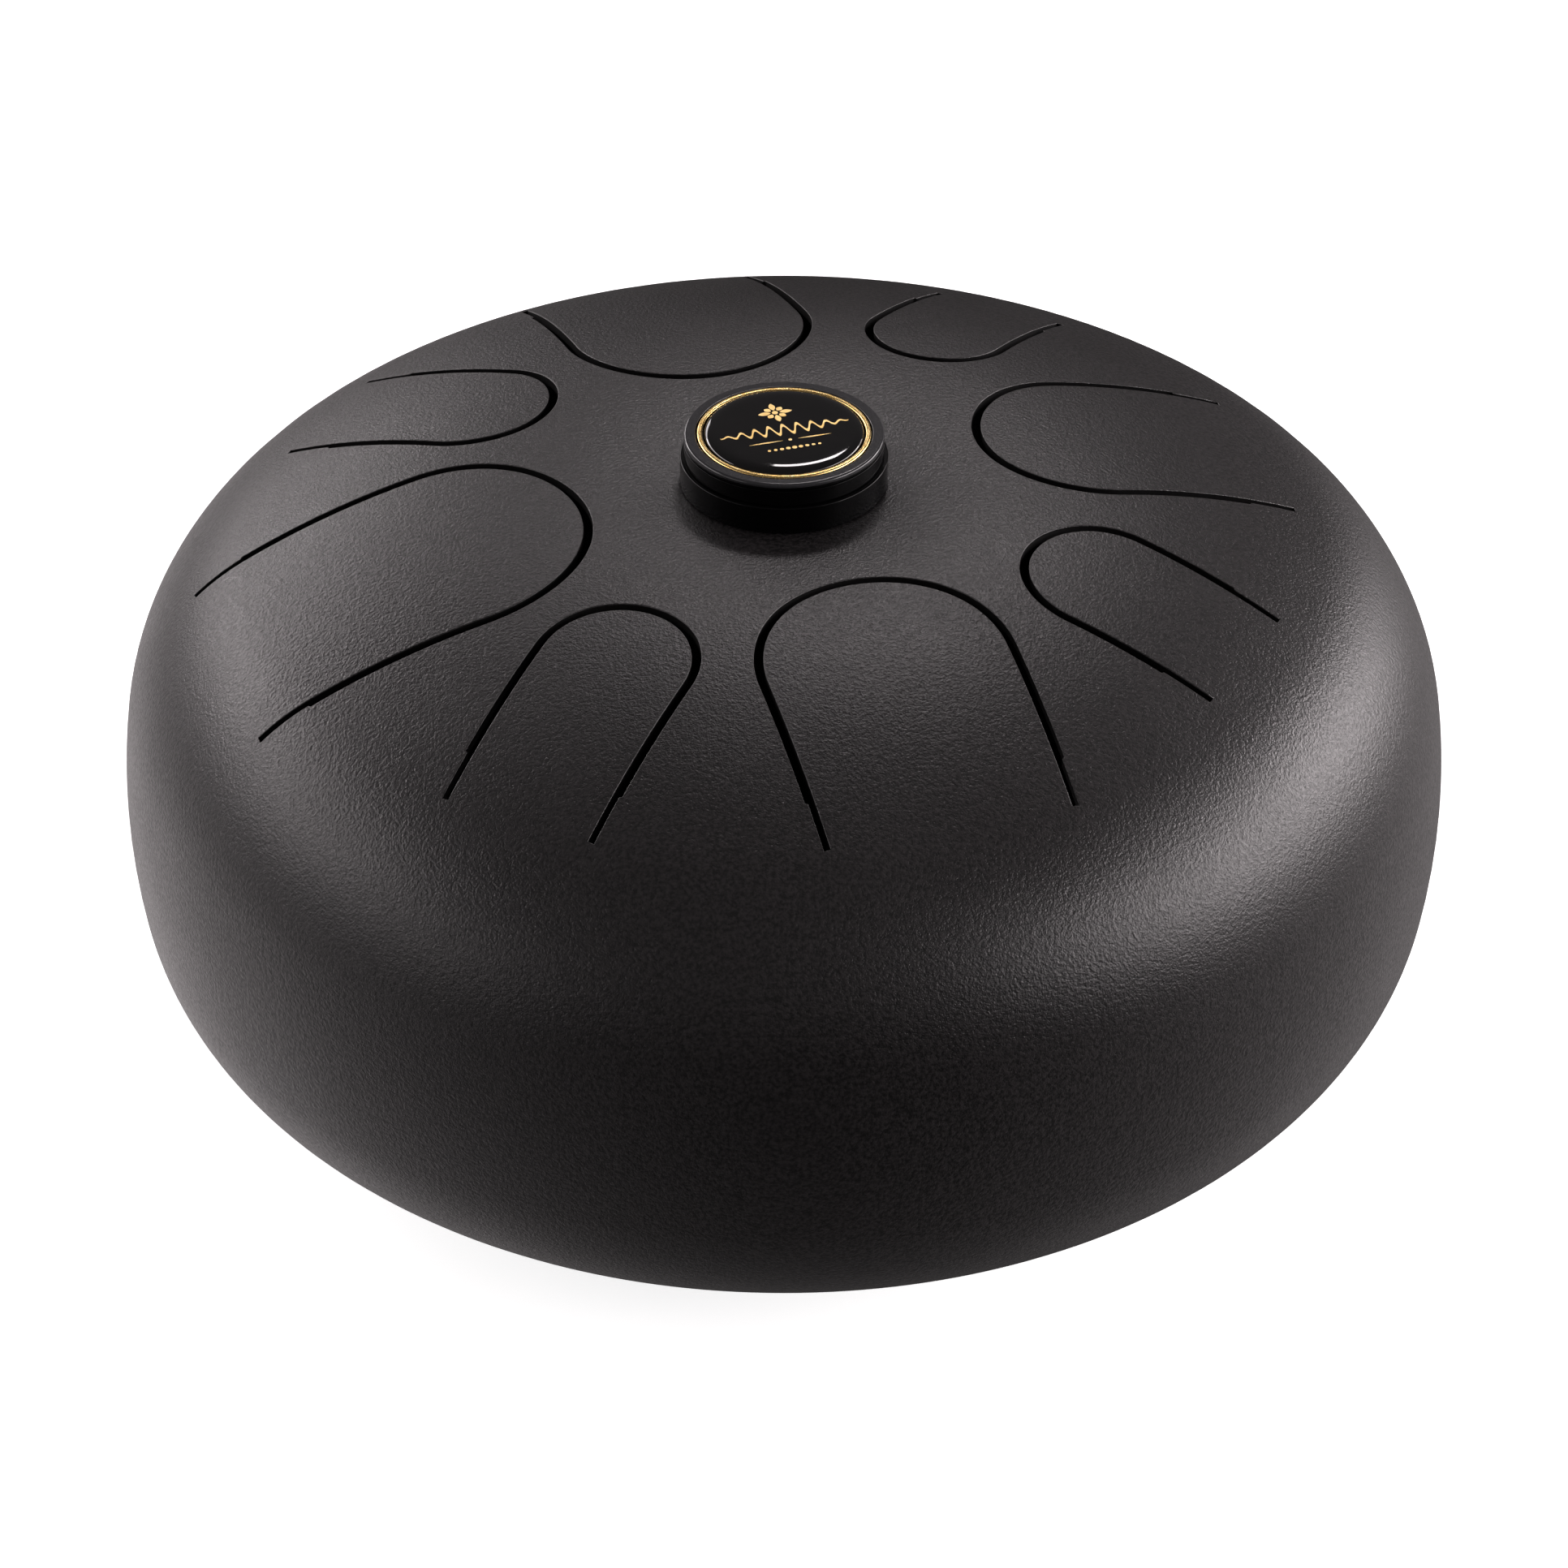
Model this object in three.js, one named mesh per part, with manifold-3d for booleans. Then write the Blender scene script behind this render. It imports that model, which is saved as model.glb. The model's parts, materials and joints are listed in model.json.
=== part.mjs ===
// Steel tongue drum: two pressed steel shells welded at the widest ring, eight tuned tongues
// cut into the top, a badge puck bolted through the middle and four screwed-on rubber feet.
// Millimetres, +Z up, origin on the ground under the middle of the drum, front towards -Y.
import * as THREE from 'three';
import { mergeVertices } from 'three/addons/utils/BufferGeometryUtils.js';
import Module from 'manifold-3d';

const wasm = await Module();
wasm.setup();

// Overall body
const DRUM_DIAMETER = 300;
const BODY_HEIGHT = 138; // flat underside to the highest ring of the top
const WALL = 2;
const FIT_GAP = 0.3; // between faces that touch

// Outline of the body, as arcs that run on from each other. Angles are the fall of the surface
// from level, in degrees. The crown and side radii follow from the diameter and the height.
const DISH_RADIUS = 95; // shallow hollow in the middle of the top
const DISH_ANGLE = 9;
const CROWN_ANGLE = 26;
const SHOULDER_RADIUS = 51;
const SHOULDER_ANGLE = 82;
const SIDE_ANGLE = 99.5;
const HEEL_RADIUS = 47;
const UPRIGHT = 90;
const LEVEL_UNDERSIDE = 180;

// Seam weld between the two shells, ground flush
const WELD_HEIGHT = 3;

// Tongues, numbered anticlockwise from the front one. Width is the steel of the tongue, and margin
// is the steel left in plan between its root, the line that it bends about, and the drum's edge.
const FIRST_TONGUE_AZIMUTH = -72.5;
const LONG_TIP = 47.6; // plan distance from the axis to the tip of the wide tongues
const SHORT_TIP = 62.4; // and to the tip of the narrow tongues
const TONGUES = [
  { tip: LONG_TIP, width: 53.6, margin: 32.5 },
  { tip: SHORT_TIP, width: 34, margin: 37 },
  { tip: LONG_TIP, width: 47.4, margin: 37 },
  { tip: SHORT_TIP, width: 30, margin: 39.5 },
  { tip: LONG_TIP, width: 53.6, margin: 32.5 },
  { tip: SHORT_TIP, width: 33.8, margin: 31.5 },
  { tip: LONG_TIP, width: 59.2, margin: 21.5 },
  { tip: SHORT_TIP, width: 33.8, margin: 28.5 },
];
const SLOT_WIDTH = 1.9;
const SLOT_END_WIDTH = 1.25; // last stretch of each slot, before the root
const SLOT_END_LENGTH = 11;

// Sound port in the underside, with its edge turned up into the drum
const PORT_DIAMETER = 76;
const LIP_RADIUS = 4;
const LIP_HEIGHT = 8;

// Badge puck on the middle of the top
const PUCK_CAP_DIAMETER = 44.6;
const PUCK_CAP_HEIGHT = 5.6;
const PUCK_BASE_LEDGE = 0.9; // base's edge stands out past the cap's
const PUCK_BASE_HEIGHT = 5;
const PUCK_CAP_BEVEL = 0.9;
const PUCK_EDGE_BREAK = 0.4;
const PAD_INSET = 1; // pad's edge is back from the base's edge
const PAD_EDGE_THICKNESS = 0.8;
const CAP_RIM_WIDTH = 2.6; // top face of the cap outside the gilt ring
const RING_WIDTH = 1.3;
const RING_STAND = 0.2; // ring's top stands above the cap
const BADGE_RECESS_DEPTH = 1.2;
const BADGE_THICKNESS = 0.9; // at its edge
const BADGE_CROWN = 1; // rise of the domed face above its edge

// Screws, washers and nuts
const SCREW_DIAMETER = 4;
const SCREW_HEAD_DIAMETER = 8;
const SCREW_HEAD_HEIGHT = 2.4;
const SCREW_TAIL = 1; // thread past the nut
const WASHER_DIAMETER = 10;
const WASHER_THICKNESS = 1;
const NUT_ACROSS_FLATS = 7;
const NUT_HEIGHT = 3.2;

// Rubber feet
const FOOT_COUNT = 4;
const FIRST_FOOT_AZIMUTH = 45;
const FOOT_SETBACK = 6.6; // foot's top edge is back from where the flat underside ends
const FOOT_TOP_DIAMETER = 20;
const FOOT_TREAD_DIAMETER = 17;
const FOOT_HEIGHT = 8;
const FOOT_EDGE_RADIUS = 1.5;
const FOOT_COUNTERBORE_DEPTH = 4;

// Fineness of the round shapes
const BODY_SEGMENTS = 48;
const PUCK_SEGMENTS = 36;
const SMALL_SEGMENTS = 16;
const TIP_SEGMENTS = 12;
const CHORD_ERROR = 0.35; // between the outline's arcs and their straight steps
const SHORT_ARC_STEPS = 3;

const rad = THREE.MathUtils.degToRad;
const boreRadius = SCREW_DIAMETER / 2 + FIT_GAP;
const counterboreRadius = SCREW_HEAD_DIAMETER / 2 + FIT_GAP;
const recessRadius = PUCK_CAP_DIAMETER / 2 - CAP_RIM_WIDTH;
const ringRadius = recessRadius - FIT_GAP;
const baseRadius = PUCK_CAP_DIAMETER / 2 + PUCK_BASE_LEDGE;

const dishEdge = DISH_RADIUS * Math.sin(rad(DISH_ANGLE));
const undersideZ = FOOT_HEIGHT + FIT_GAP;
const crestZ = undersideZ + BODY_HEIGHT;

// ---------------------------------------------------------------- outline of the body

// Crown and side radii that make the arcs add up to the drum's radius and height.
function solveOutline() {
  const sin = (angle) => Math.sin(rad(angle));
  const cos = (angle) => Math.cos(rad(angle));
  const crownReach = sin(CROWN_ANGLE) + sin(DISH_ANGLE);
  const crownDrop = 1 - cos(CROWN_ANGLE);
  const sideReach = 1 - sin(SHOULDER_ANGLE);
  const sideDrop = cos(SHOULDER_ANGLE) - cos(SIDE_ANGLE);
  const shoulderReach = SHOULDER_RADIUS * (sin(SHOULDER_ANGLE) - sin(CROWN_ANGLE));
  const reach = DRUM_DIAMETER / 2 - DISH_RADIUS * sin(DISH_ANGLE) - shoulderReach;
  const shoulderDrop = SHOULDER_RADIUS * (cos(CROWN_ANGLE) - cos(SHOULDER_ANGLE));
  const drop = BODY_HEIGHT - shoulderDrop - HEEL_RADIUS * (cos(SIDE_ANGLE) + 1);
  const determinant = crownReach * sideDrop - sideReach * crownDrop;
  return {
    crown: (reach * sideDrop - sideReach * drop) / determinant,
    side: (crownReach * drop - crownDrop * reach) / determinant,
  };
}

// The convex arcs from the crown to the underside, each with its centre, so that a face of the
// sheet at any inset is the same arc with a shorter radius.
function convexArcs() {
  const { crown, side } = solveOutline();
  const spans = [
    { radius: crown, from: -DISH_ANGLE, to: CROWN_ANGLE },
    { radius: SHOULDER_RADIUS, from: CROWN_ANGLE, to: SHOULDER_ANGLE },
    { radius: side, from: SHOULDER_ANGLE, to: SIDE_ANGLE },
    { radius: HEEL_RADIUS, from: SIDE_ANGLE, to: LEVEL_UNDERSIDE },
  ];
  let centre = new THREE.Vector2(dishEdge + crown * Math.sin(rad(DISH_ANGLE)), crestZ - crown);
  return spans.map((span, index) => {
    if (index > 0) {
      const shift = spans[index - 1].radius - span.radius;
      centre = centre.clone().add(fallVector(span.from).multiplyScalar(shift));
    }
    return { ...span, centre };
  });
}

// Outward direction of a surface that falls by this angle.
function fallVector(angle) {
  return new THREE.Vector2(Math.sin(rad(angle)), Math.cos(rad(angle)));
}

const arcs = convexArcs();
const [crownArc, shoulderArc, sideArc, heelArc] = arcs;
const dishCentreZ = crownArc.centre.y
  + (crownArc.radius + DISH_RADIUS) * Math.cos(rad(DISH_ANGLE));
const seamZ = sideArc.centre.y;

function arcPoints(arc, inset, from, to) {
  const longestStep = 2 * THREE.MathUtils.radToDeg(Math.acos(1 - CHORD_ERROR / arc.radius));
  const steps = Math.ceil((to - from) / longestStep);
  return Array.from({ length: steps + 1 }, (unused, i) => {
    const angle = THREE.MathUtils.lerp(from, to, i / steps);
    return fallVector(angle).multiplyScalar(arc.radius - inset).add(arc.centre);
  });
}

// The hollow in the middle of the top, from a plan radius out to where the crown starts.
function dishPoints(inset, startRadius) {
  const radius = DISH_RADIUS + inset;
  const start = THREE.MathUtils.radToDeg(Math.asin(startRadius / radius));
  const angles = [start, (start + DISH_ANGLE) / 2, DISH_ANGLE];
  return angles.map((angle) => new THREE.Vector2(
    radius * Math.sin(rad(angle)),
    dishCentreZ - radius * Math.cos(rad(angle)),
  ));
}

// Height of the face at this inset, at a plan radius on the dish or the crown.
function topZ(planRadius, inset) {
  if (planRadius < (DISH_RADIUS + inset) * Math.sin(rad(DISH_ANGLE))) {
    return dishCentreZ - Math.sqrt((DISH_RADIUS + inset) ** 2 - planRadius ** 2);
  }
  const across = planRadius - crownArc.centre.x;
  return crownArc.centre.y + Math.sqrt((crownArc.radius - inset) ** 2 - across ** 2);
}

// Fall angle at which the side's face at this inset is a given height above the seam.
function sideAngleAt(heightAboveSeam, inset) {
  return THREE.MathUtils.radToDeg(Math.acos(heightAboveSeam / (sideArc.radius - inset)));
}

function joinPoints(...stretches) {
  const points = [];
  for (const point of stretches.flat()) {
    const last = points[points.length - 1];
    if (!last || last.distanceTo(point) > FIT_GAP / 10) points.push(point);
  }
  return points;
}

// ---------------------------------------------------------------- solids

// Turns an outline of (radius, height) points round the Z axis. A closed outline runs clockwise
// as seen with the axis on the left.
function turned(points, segments, closed) {
  const outline = closed ? [...points, points[0]] : points;
  const upward = [...outline].reverse();
  return new THREE.LatheGeometry(upward, segments).rotateX(Math.PI / 2);
}

function mergedGeometry(geometry) {
  const bare = geometry.index ? geometry.toNonIndexed() : geometry;
  bare.deleteAttribute('normal');
  bare.deleteAttribute('uv');
  return mergeVertices(bare);
}

function toSolid(geometry) {
  const merged = mergedGeometry(geometry);
  return new wasm.Manifold(new wasm.Mesh({
    numProp: 3,
    vertProperties: merged.attributes.position.array,
    triVerts: Uint32Array.from(merged.index.array),
  }));
}

function toGeometry(solid) {
  const mesh = solid.getMesh();
  const geometry = new THREE.BufferGeometry();
  geometry.setAttribute('position', new THREE.BufferAttribute(mesh.vertProperties, 3));
  geometry.setIndex(new THREE.BufferAttribute(mesh.triVerts, 1));
  geometry.computeVertexNormals();
  return geometry;
}

// A tongue-shaped prism through the top: a round tip towards the axis and straight sides out to
// the end. grow widens it all round but not past the end, and step narrows its last stretch.
function tonguePrism(tongue, azimuth, grow, step, end) {
  const halfWidth = tongue.width / 2 + grow;
  const tipCentre = tongue.tip + tongue.width / 2;
  const stepX = Math.max(tipCentre, end - SLOT_END_LENGTH);
  const shape = new THREE.Shape();
  shape.absarc(tipCentre, 0, halfWidth, Math.PI / 2, -Math.PI / 2, false);
  if (step > 0) {
    shape.lineTo(stepX, -halfWidth);
    shape.lineTo(stepX, step - halfWidth);
  }
  shape.lineTo(end, step - halfWidth);
  shape.lineTo(end, halfWidth - step);
  if (step > 0) {
    shape.lineTo(stepX, halfWidth - step);
    shape.lineTo(stepX, halfWidth);
  }
  const depth = crestZ - seamZ;
  return new THREE.ExtrudeGeometry(shape, { depth, bevelEnabled: false, curveSegments: TIP_SEGMENTS })
    .rotateZ(rad(azimuth))
    .translate(0, 0, seamZ + depth * 0.1);
}

function uncutTop() {
  const outerEnd = sideAngleAt(WELD_HEIGHT / 2 + FIT_GAP, 0);
  const innerEnd = sideAngleAt(WELD_HEIGHT / 2 + FIT_GAP, WALL);
  const face = (inset, end) => joinPoints(
    dishPoints(inset, boreRadius),
    arcPoints(crownArc, inset, crownArc.from, 0),
    arcPoints(crownArc, inset, 0, crownArc.to),
    arcPoints(shoulderArc, inset, shoulderArc.from, shoulderArc.to),
    arcPoints(sideArc, inset, sideArc.from, end),
  );
  const outline = [...face(0, outerEnd), ...face(WALL, innerEnd).reverse()];
  return turned(outline, BODY_SEGMENTS, true);
}

function bottomShell() {
  const portRadius = PORT_DIAMETER / 2;
  const outerStart = sideAngleAt(-WELD_HEIGHT / 2 - FIT_GAP, 0);
  const innerStart = sideAngleAt(-WELD_HEIGHT / 2 - FIT_GAP, WALL);
  const lipArc = {
    radius: LIP_RADIUS,
    centre: point(portRadius + LIP_RADIUS, undersideZ + LIP_RADIUS),
  };
  const face = (inset, start) => joinPoints(
    arcPoints(sideArc, inset, start, sideArc.to),
    arcPoints(heelArc, inset, heelArc.from, heelArc.to),
    lipPoints(lipArc, inset),
    [point(portRadius + inset, undersideZ + LIP_HEIGHT)],
  );
  const outline = [...face(0, outerStart), ...face(WALL, innerStart).reverse()];
  let solid = toSolid(turned(outline, BODY_SEGMENTS, true));
  for (const place of footPlaces()) {
    const drill = new THREE.CylinderGeometry(boreRadius, boreRadius, WALL * 2, SMALL_SEGMENTS)
      .rotateX(Math.PI / 2)
      .translate(place.x, place.y, undersideZ + WALL / 2);
    solid = solid.subtract(toSolid(drill));
  }
  return toGeometry(solid);
}

// The port's edge, turned up from level underside to upright.
function lipPoints(arc, inset) {
  return Array.from({ length: SHORT_ARC_STEPS + 1 }, (unused, i) => {
    const angle = LEVEL_UNDERSIDE + UPRIGHT * (i / SHORT_ARC_STEPS);
    return fallVector(angle).multiplyScalar(arc.radius - inset).add(arc.centre);
  });
}

function seamWeld() {
  const outerFrom = sideAngleAt(WELD_HEIGHT / 2, 0);
  const innerFrom = sideAngleAt(WELD_HEIGHT / 2, WALL);
  const outer = joinPoints(
    arcPoints(sideArc, 0, outerFrom, UPRIGHT),
    arcPoints(sideArc, 0, UPRIGHT, LEVEL_UNDERSIDE - outerFrom),
  );
  const inner = arcPoints(sideArc, WALL, innerFrom, LEVEL_UNDERSIDE - innerFrom);
  return turned([...outer, ...inner.reverse()], BODY_SEGMENTS, true);
}

// ---------------------------------------------------------------- puck

const padRadius = baseRadius - PAD_INSET;
const padTopZ = topZ(padRadius, -FIT_GAP) + PAD_EDGE_THICKNESS;
const baseFloorZ = padTopZ + FIT_GAP;
const capFloorZ = baseFloorZ + PUCK_BASE_HEIGHT + FIT_GAP;
const capTopZ = capFloorZ + PUCK_CAP_HEIGHT;
const recessFloorZ = capTopZ - BADGE_RECESS_DEPTH;
const puckHeadSeatZ = recessFloorZ - SCREW_HEAD_HEIGHT - FIT_GAP;
const puckWasherTopZ = topZ(0, WALL) - FIT_GAP;

function point(radius, height) {
  return new THREE.Vector2(radius, height);
}

function puckPad() {
  const outward = joinPoints(
    dishPoints(-FIT_GAP, boreRadius),
    [point((padRadius + dishEdge) / 2, 0)],
    [point(padRadius, 0)],
  ).map(({ x }) => point(x, topZ(x, -FIT_GAP)));
  const outline = [point(boreRadius, padTopZ), point(padRadius, padTopZ), ...outward.reverse()];
  return turned(outline, PUCK_SEGMENTS, true);
}

function puckBase() {
  const top = baseFloorZ + PUCK_BASE_HEIGHT;
  return turned([
    point(boreRadius, top),
    point(baseRadius - PUCK_EDGE_BREAK, top),
    point(baseRadius, top - PUCK_EDGE_BREAK),
    point(baseRadius, baseFloorZ + PUCK_EDGE_BREAK),
    point(baseRadius - PUCK_EDGE_BREAK, baseFloorZ),
    point(boreRadius, baseFloorZ),
  ], PUCK_SEGMENTS, true);
}

function puckCap() {
  const radius = PUCK_CAP_DIAMETER / 2;
  return turned([
    point(boreRadius, puckHeadSeatZ - FIT_GAP),
    point(counterboreRadius, puckHeadSeatZ - FIT_GAP),
    point(counterboreRadius, recessFloorZ),
    point(recessRadius, recessFloorZ),
    point(recessRadius, capTopZ),
    point(radius - PUCK_CAP_BEVEL, capTopZ),
    point(radius, capTopZ - PUCK_CAP_BEVEL),
    point(radius, capFloorZ + PUCK_EDGE_BREAK),
    point(radius - PUCK_EDGE_BREAK, capFloorZ),
    point(boreRadius, capFloorZ),
  ], PUCK_SEGMENTS, true);
}

function puckRing() {
  const inner = ringRadius - RING_WIDTH;
  const top = capTopZ + RING_STAND;
  const floor = recessFloorZ + FIT_GAP;
  return turned(
    [point(inner, top), point(ringRadius, top), point(ringRadius, floor), point(inner, floor)],
    PUCK_SEGMENTS,
    true,
  );
}

// A disc with a shallow spherical cap on it.
function puckBadge() {
  const radius = ringRadius - RING_WIDTH - FIT_GAP;
  const floor = recessFloorZ + FIT_GAP;
  const shoulder = floor + BADGE_THICKNESS;
  const sphere = (radius ** 2 + BADGE_CROWN ** 2) / (2 * BADGE_CROWN);
  const steps = 5;
  const dome = Array.from({ length: steps + 1 }, (unused, i) => {
    const across = radius * (i / steps);
    const rise = Math.sqrt(sphere ** 2 - across ** 2) - (sphere - BADGE_CROWN);
    return point(across, shoulder + rise);
  });
  return turned([...dome, point(radius, floor), point(0, floor)], PUCK_SEGMENTS, false);
}

// ---------------------------------------------------------------- fasteners and feet

// A screw along Z: up is 1 where the shank runs up from the head and -1 where it runs down.
function screw(seatZ, tipZ, up) {
  const head = seatZ - up * SCREW_HEAD_HEIGHT;
  const edge = seatZ - up * SCREW_HEAD_HEIGHT * 0.5;
  const outline = [
    point(0, head),
    point(SCREW_HEAD_DIAMETER * 0.35, head),
    point(SCREW_HEAD_DIAMETER / 2, edge),
    point(SCREW_HEAD_DIAMETER / 2, seatZ),
    point(SCREW_DIAMETER / 2, seatZ),
    point(SCREW_DIAMETER / 2, tipZ),
    point(0, tipZ),
  ];
  return turned(up > 0 ? outline.reverse() : outline, SMALL_SEGMENTS, false);
}

function washer(floorZ) {
  const radius = WASHER_DIAMETER / 2;
  const top = floorZ + WASHER_THICKNESS;
  return turned(
    [point(boreRadius, top), point(radius, top), point(radius, floorZ), point(boreRadius, floorZ)],
    SMALL_SEGMENTS,
    true,
  );
}

function nut(floorZ) {
  const cornerRadius = NUT_ACROSS_FLATS / Math.sqrt(3);
  const shape = new THREE.Shape();
  for (let corner = 0; corner < 6; corner += 1) {
    const angle = corner * Math.PI / 3;
    const x = cornerRadius * Math.cos(angle);
    const y = cornerRadius * Math.sin(angle);
    if (corner === 0) shape.moveTo(x, y);
    else shape.lineTo(x, y);
  }
  shape.closePath();
  const bore = new THREE.Path();
  bore.absarc(0, 0, boreRadius, 0, Math.PI * 2, true);
  shape.holes.push(bore);
  return new THREE.ExtrudeGeometry(shape, {
    depth: NUT_HEIGHT,
    bevelEnabled: false,
    curveSegments: SMALL_SEGMENTS / 2,
  }).translate(0, 0, floorZ);
}

function foot() {
  const tread = FOOT_TREAD_DIAMETER / 2;
  const edge = { radius: FOOT_EDGE_RADIUS, centre: point(tread - FOOT_EDGE_RADIUS, FOOT_EDGE_RADIUS) };
  const rounded = Array.from({ length: SHORT_ARC_STEPS + 1 }, (unused, i) => (
    fallVector(UPRIGHT + UPRIGHT * (i / SHORT_ARC_STEPS)).multiplyScalar(edge.radius).add(edge.centre)
  ));
  return turned([
    point(boreRadius, FOOT_HEIGHT),
    point(FOOT_TOP_DIAMETER / 2, FOOT_HEIGHT),
    ...rounded,
    point(counterboreRadius, 0),
    point(counterboreRadius, FOOT_COUNTERBORE_DEPTH),
    point(boreRadius, FOOT_COUNTERBORE_DEPTH),
  ], SMALL_SEGMENTS, true);
}

function footPlaces() {
  return Array.from({ length: FOOT_COUNT }, (unused, i) => {
    const angle = rad(FIRST_FOOT_AZIMUTH + i * (360 / FOOT_COUNT));
    const radius = heelArc.centre.x - FOOT_SETBACK - FOOT_TOP_DIAMETER / 2;
    return { x: radius * Math.cos(angle), y: radius * Math.sin(angle) };
  });
}

// ---------------------------------------------------------------- assembly

const finishes = {
  coat: new THREE.MeshStandardMaterial({ color: 0x353132, roughness: 0.5, metalness: 0.3 }),
  gloss: new THREE.MeshStandardMaterial({ color: 0x0b0b0c, roughness: 0.15, metalness: 0 }),
  gilt: new THREE.MeshStandardMaterial({ color: 0xc99a3a, roughness: 0.3, metalness: 1 }),
  rubber: new THREE.MeshStandardMaterial({ color: 0x161616, roughness: 0.85, metalness: 0 }),
  zinc: new THREE.MeshStandardMaterial({ color: 0xb4b6b8, roughness: 0.35, metalness: 1 }),
};

const group = new THREE.Group();

function addPart(name, geometry, finish, parent = group) {
  const mesh = new THREE.Mesh(geometry, finish);
  mesh.name = name;
  parent.add(mesh);
}

function addTopWithTongues() {
  const whole = toSolid(uncutTop());
  const step = SLOT_WIDTH - SLOT_END_WIDTH;
  let shell = whole;
  TONGUES.forEach((tongue, index) => {
    const azimuth = FIRST_TONGUE_AZIMUTH + index * (360 / TONGUES.length);
    const root = DRUM_DIAMETER / 2 - tongue.margin;
    const opening = tonguePrism(tongue, azimuth, SLOT_WIDTH, step, root);
    const blade = tonguePrism(tongue, azimuth, 0, 0, root - FIT_GAP);
    shell = shell.subtract(toSolid(opening));
    addPart(`tongue_${index + 1}`, toGeometry(whole.intersect(toSolid(blade))), finishes.coat);
  });
  addPart('top_shell', toGeometry(shell), finishes.coat);
}

function addPuck() {
  addPart('puck_pad', puckPad(), finishes.rubber);
  addPart('puck_base', puckBase(), finishes.gloss);
  addPart('puck_cap', puckCap(), finishes.gloss);
  addPart('puck_ring', puckRing(), finishes.gilt);
  addPart('puck_badge', puckBadge(), finishes.gloss);
  const washerZ = puckWasherTopZ - WASHER_THICKNESS;
  const nutZ = washerZ - FIT_GAP - NUT_HEIGHT;
  addPart('puck_washer', washer(washerZ), finishes.zinc);
  addPart('puck_nut', nut(nutZ), finishes.zinc);
  addPart('puck_screw', screw(puckHeadSeatZ, nutZ - SCREW_TAIL, -1), finishes.zinc);
}

function addFeet() {
  const headSeatZ = FOOT_COUNTERBORE_DEPTH - FIT_GAP;
  const washerZ = undersideZ + WALL + FIT_GAP;
  const nutZ = washerZ + WASHER_THICKNESS + FIT_GAP;
  const tipZ = nutZ + NUT_HEIGHT + SCREW_TAIL;
  footPlaces().forEach((place, index) => {
    const stack = new THREE.Group();
    stack.position.set(place.x, place.y, 0);
    addPart(`foot_${index + 1}`, foot(), finishes.rubber, stack);
    addPart(`foot_screw_${index + 1}`, screw(headSeatZ, tipZ, 1), finishes.zinc, stack);
    addPart(`foot_washer_${index + 1}`, washer(washerZ), finishes.zinc, stack);
    addPart(`foot_nut_${index + 1}`, nut(nutZ), finishes.zinc, stack);
    group.add(stack);
  });
}

addTopWithTongues();
addPart('seam_weld', seamWeld(), finishes.coat);
addPart('bottom_shell', bottomShell(), finishes.coat);
addPuck();
addFeet();

export default group;
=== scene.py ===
import json
import math

import bpy
import numpy as np
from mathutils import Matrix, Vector
from mathutils.geometry import delaunay_2d_cdt


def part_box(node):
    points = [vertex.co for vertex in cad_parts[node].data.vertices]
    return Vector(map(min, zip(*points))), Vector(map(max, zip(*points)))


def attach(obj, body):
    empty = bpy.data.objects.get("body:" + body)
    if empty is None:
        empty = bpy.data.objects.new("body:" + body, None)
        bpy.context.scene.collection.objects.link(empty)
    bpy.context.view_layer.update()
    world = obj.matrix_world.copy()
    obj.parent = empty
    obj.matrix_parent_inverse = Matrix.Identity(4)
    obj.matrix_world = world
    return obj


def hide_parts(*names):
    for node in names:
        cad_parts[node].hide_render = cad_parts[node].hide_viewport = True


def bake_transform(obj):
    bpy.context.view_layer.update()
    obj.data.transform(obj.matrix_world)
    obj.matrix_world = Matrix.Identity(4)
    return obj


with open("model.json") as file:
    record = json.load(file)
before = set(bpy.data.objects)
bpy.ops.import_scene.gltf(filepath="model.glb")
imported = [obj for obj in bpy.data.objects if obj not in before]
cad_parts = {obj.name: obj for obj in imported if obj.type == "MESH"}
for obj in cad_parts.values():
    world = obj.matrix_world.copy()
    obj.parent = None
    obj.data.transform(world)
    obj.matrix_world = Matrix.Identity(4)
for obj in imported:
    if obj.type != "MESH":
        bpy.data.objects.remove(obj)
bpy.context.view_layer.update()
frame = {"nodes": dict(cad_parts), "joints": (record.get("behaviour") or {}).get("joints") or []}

MM = 0.001

# Outline of the body: arcs that run on from each other, given by the fall of the surface in degrees
BODY_HEIGHT = 138 * MM
WALL = 2 * MM
DISH_RADIUS = 95 * MM
DISH_ANGLE = 9
CROWN_ANGLE = 26
SHOULDER_RADIUS = 51 * MM
SHOULDER_ANGLE = 82
UPRIGHT = 90
SIDE_ANGLE = 99.5
HEEL_RADIUS = 47 * MM
LEVEL_UNDERSIDE = 180

# Slots and the port
SLOT_WIDTH = 2.05 * MM
SLOT_END_WIDTH = 1.45 * MM
SLOT_END_LENGTH = 11 * MM
SLOT_STEP_SLANT = 0.4 * MM
ROOT_GAP = 0.3 * MM
EDGE_ROUND = 0.22 * MM
PORT_RADIUS = 38 * MM
LIP_RADIUS = 4 * MM
LIP_HEIGHT = 8 * MM
BORE_RADIUS = 2.3 * MM
WELD_BEAD = 0.6 * MM
BEND_SHARE = 0.6  # share of a tongue's length, from its root, where a point along its middle is worked out
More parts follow.
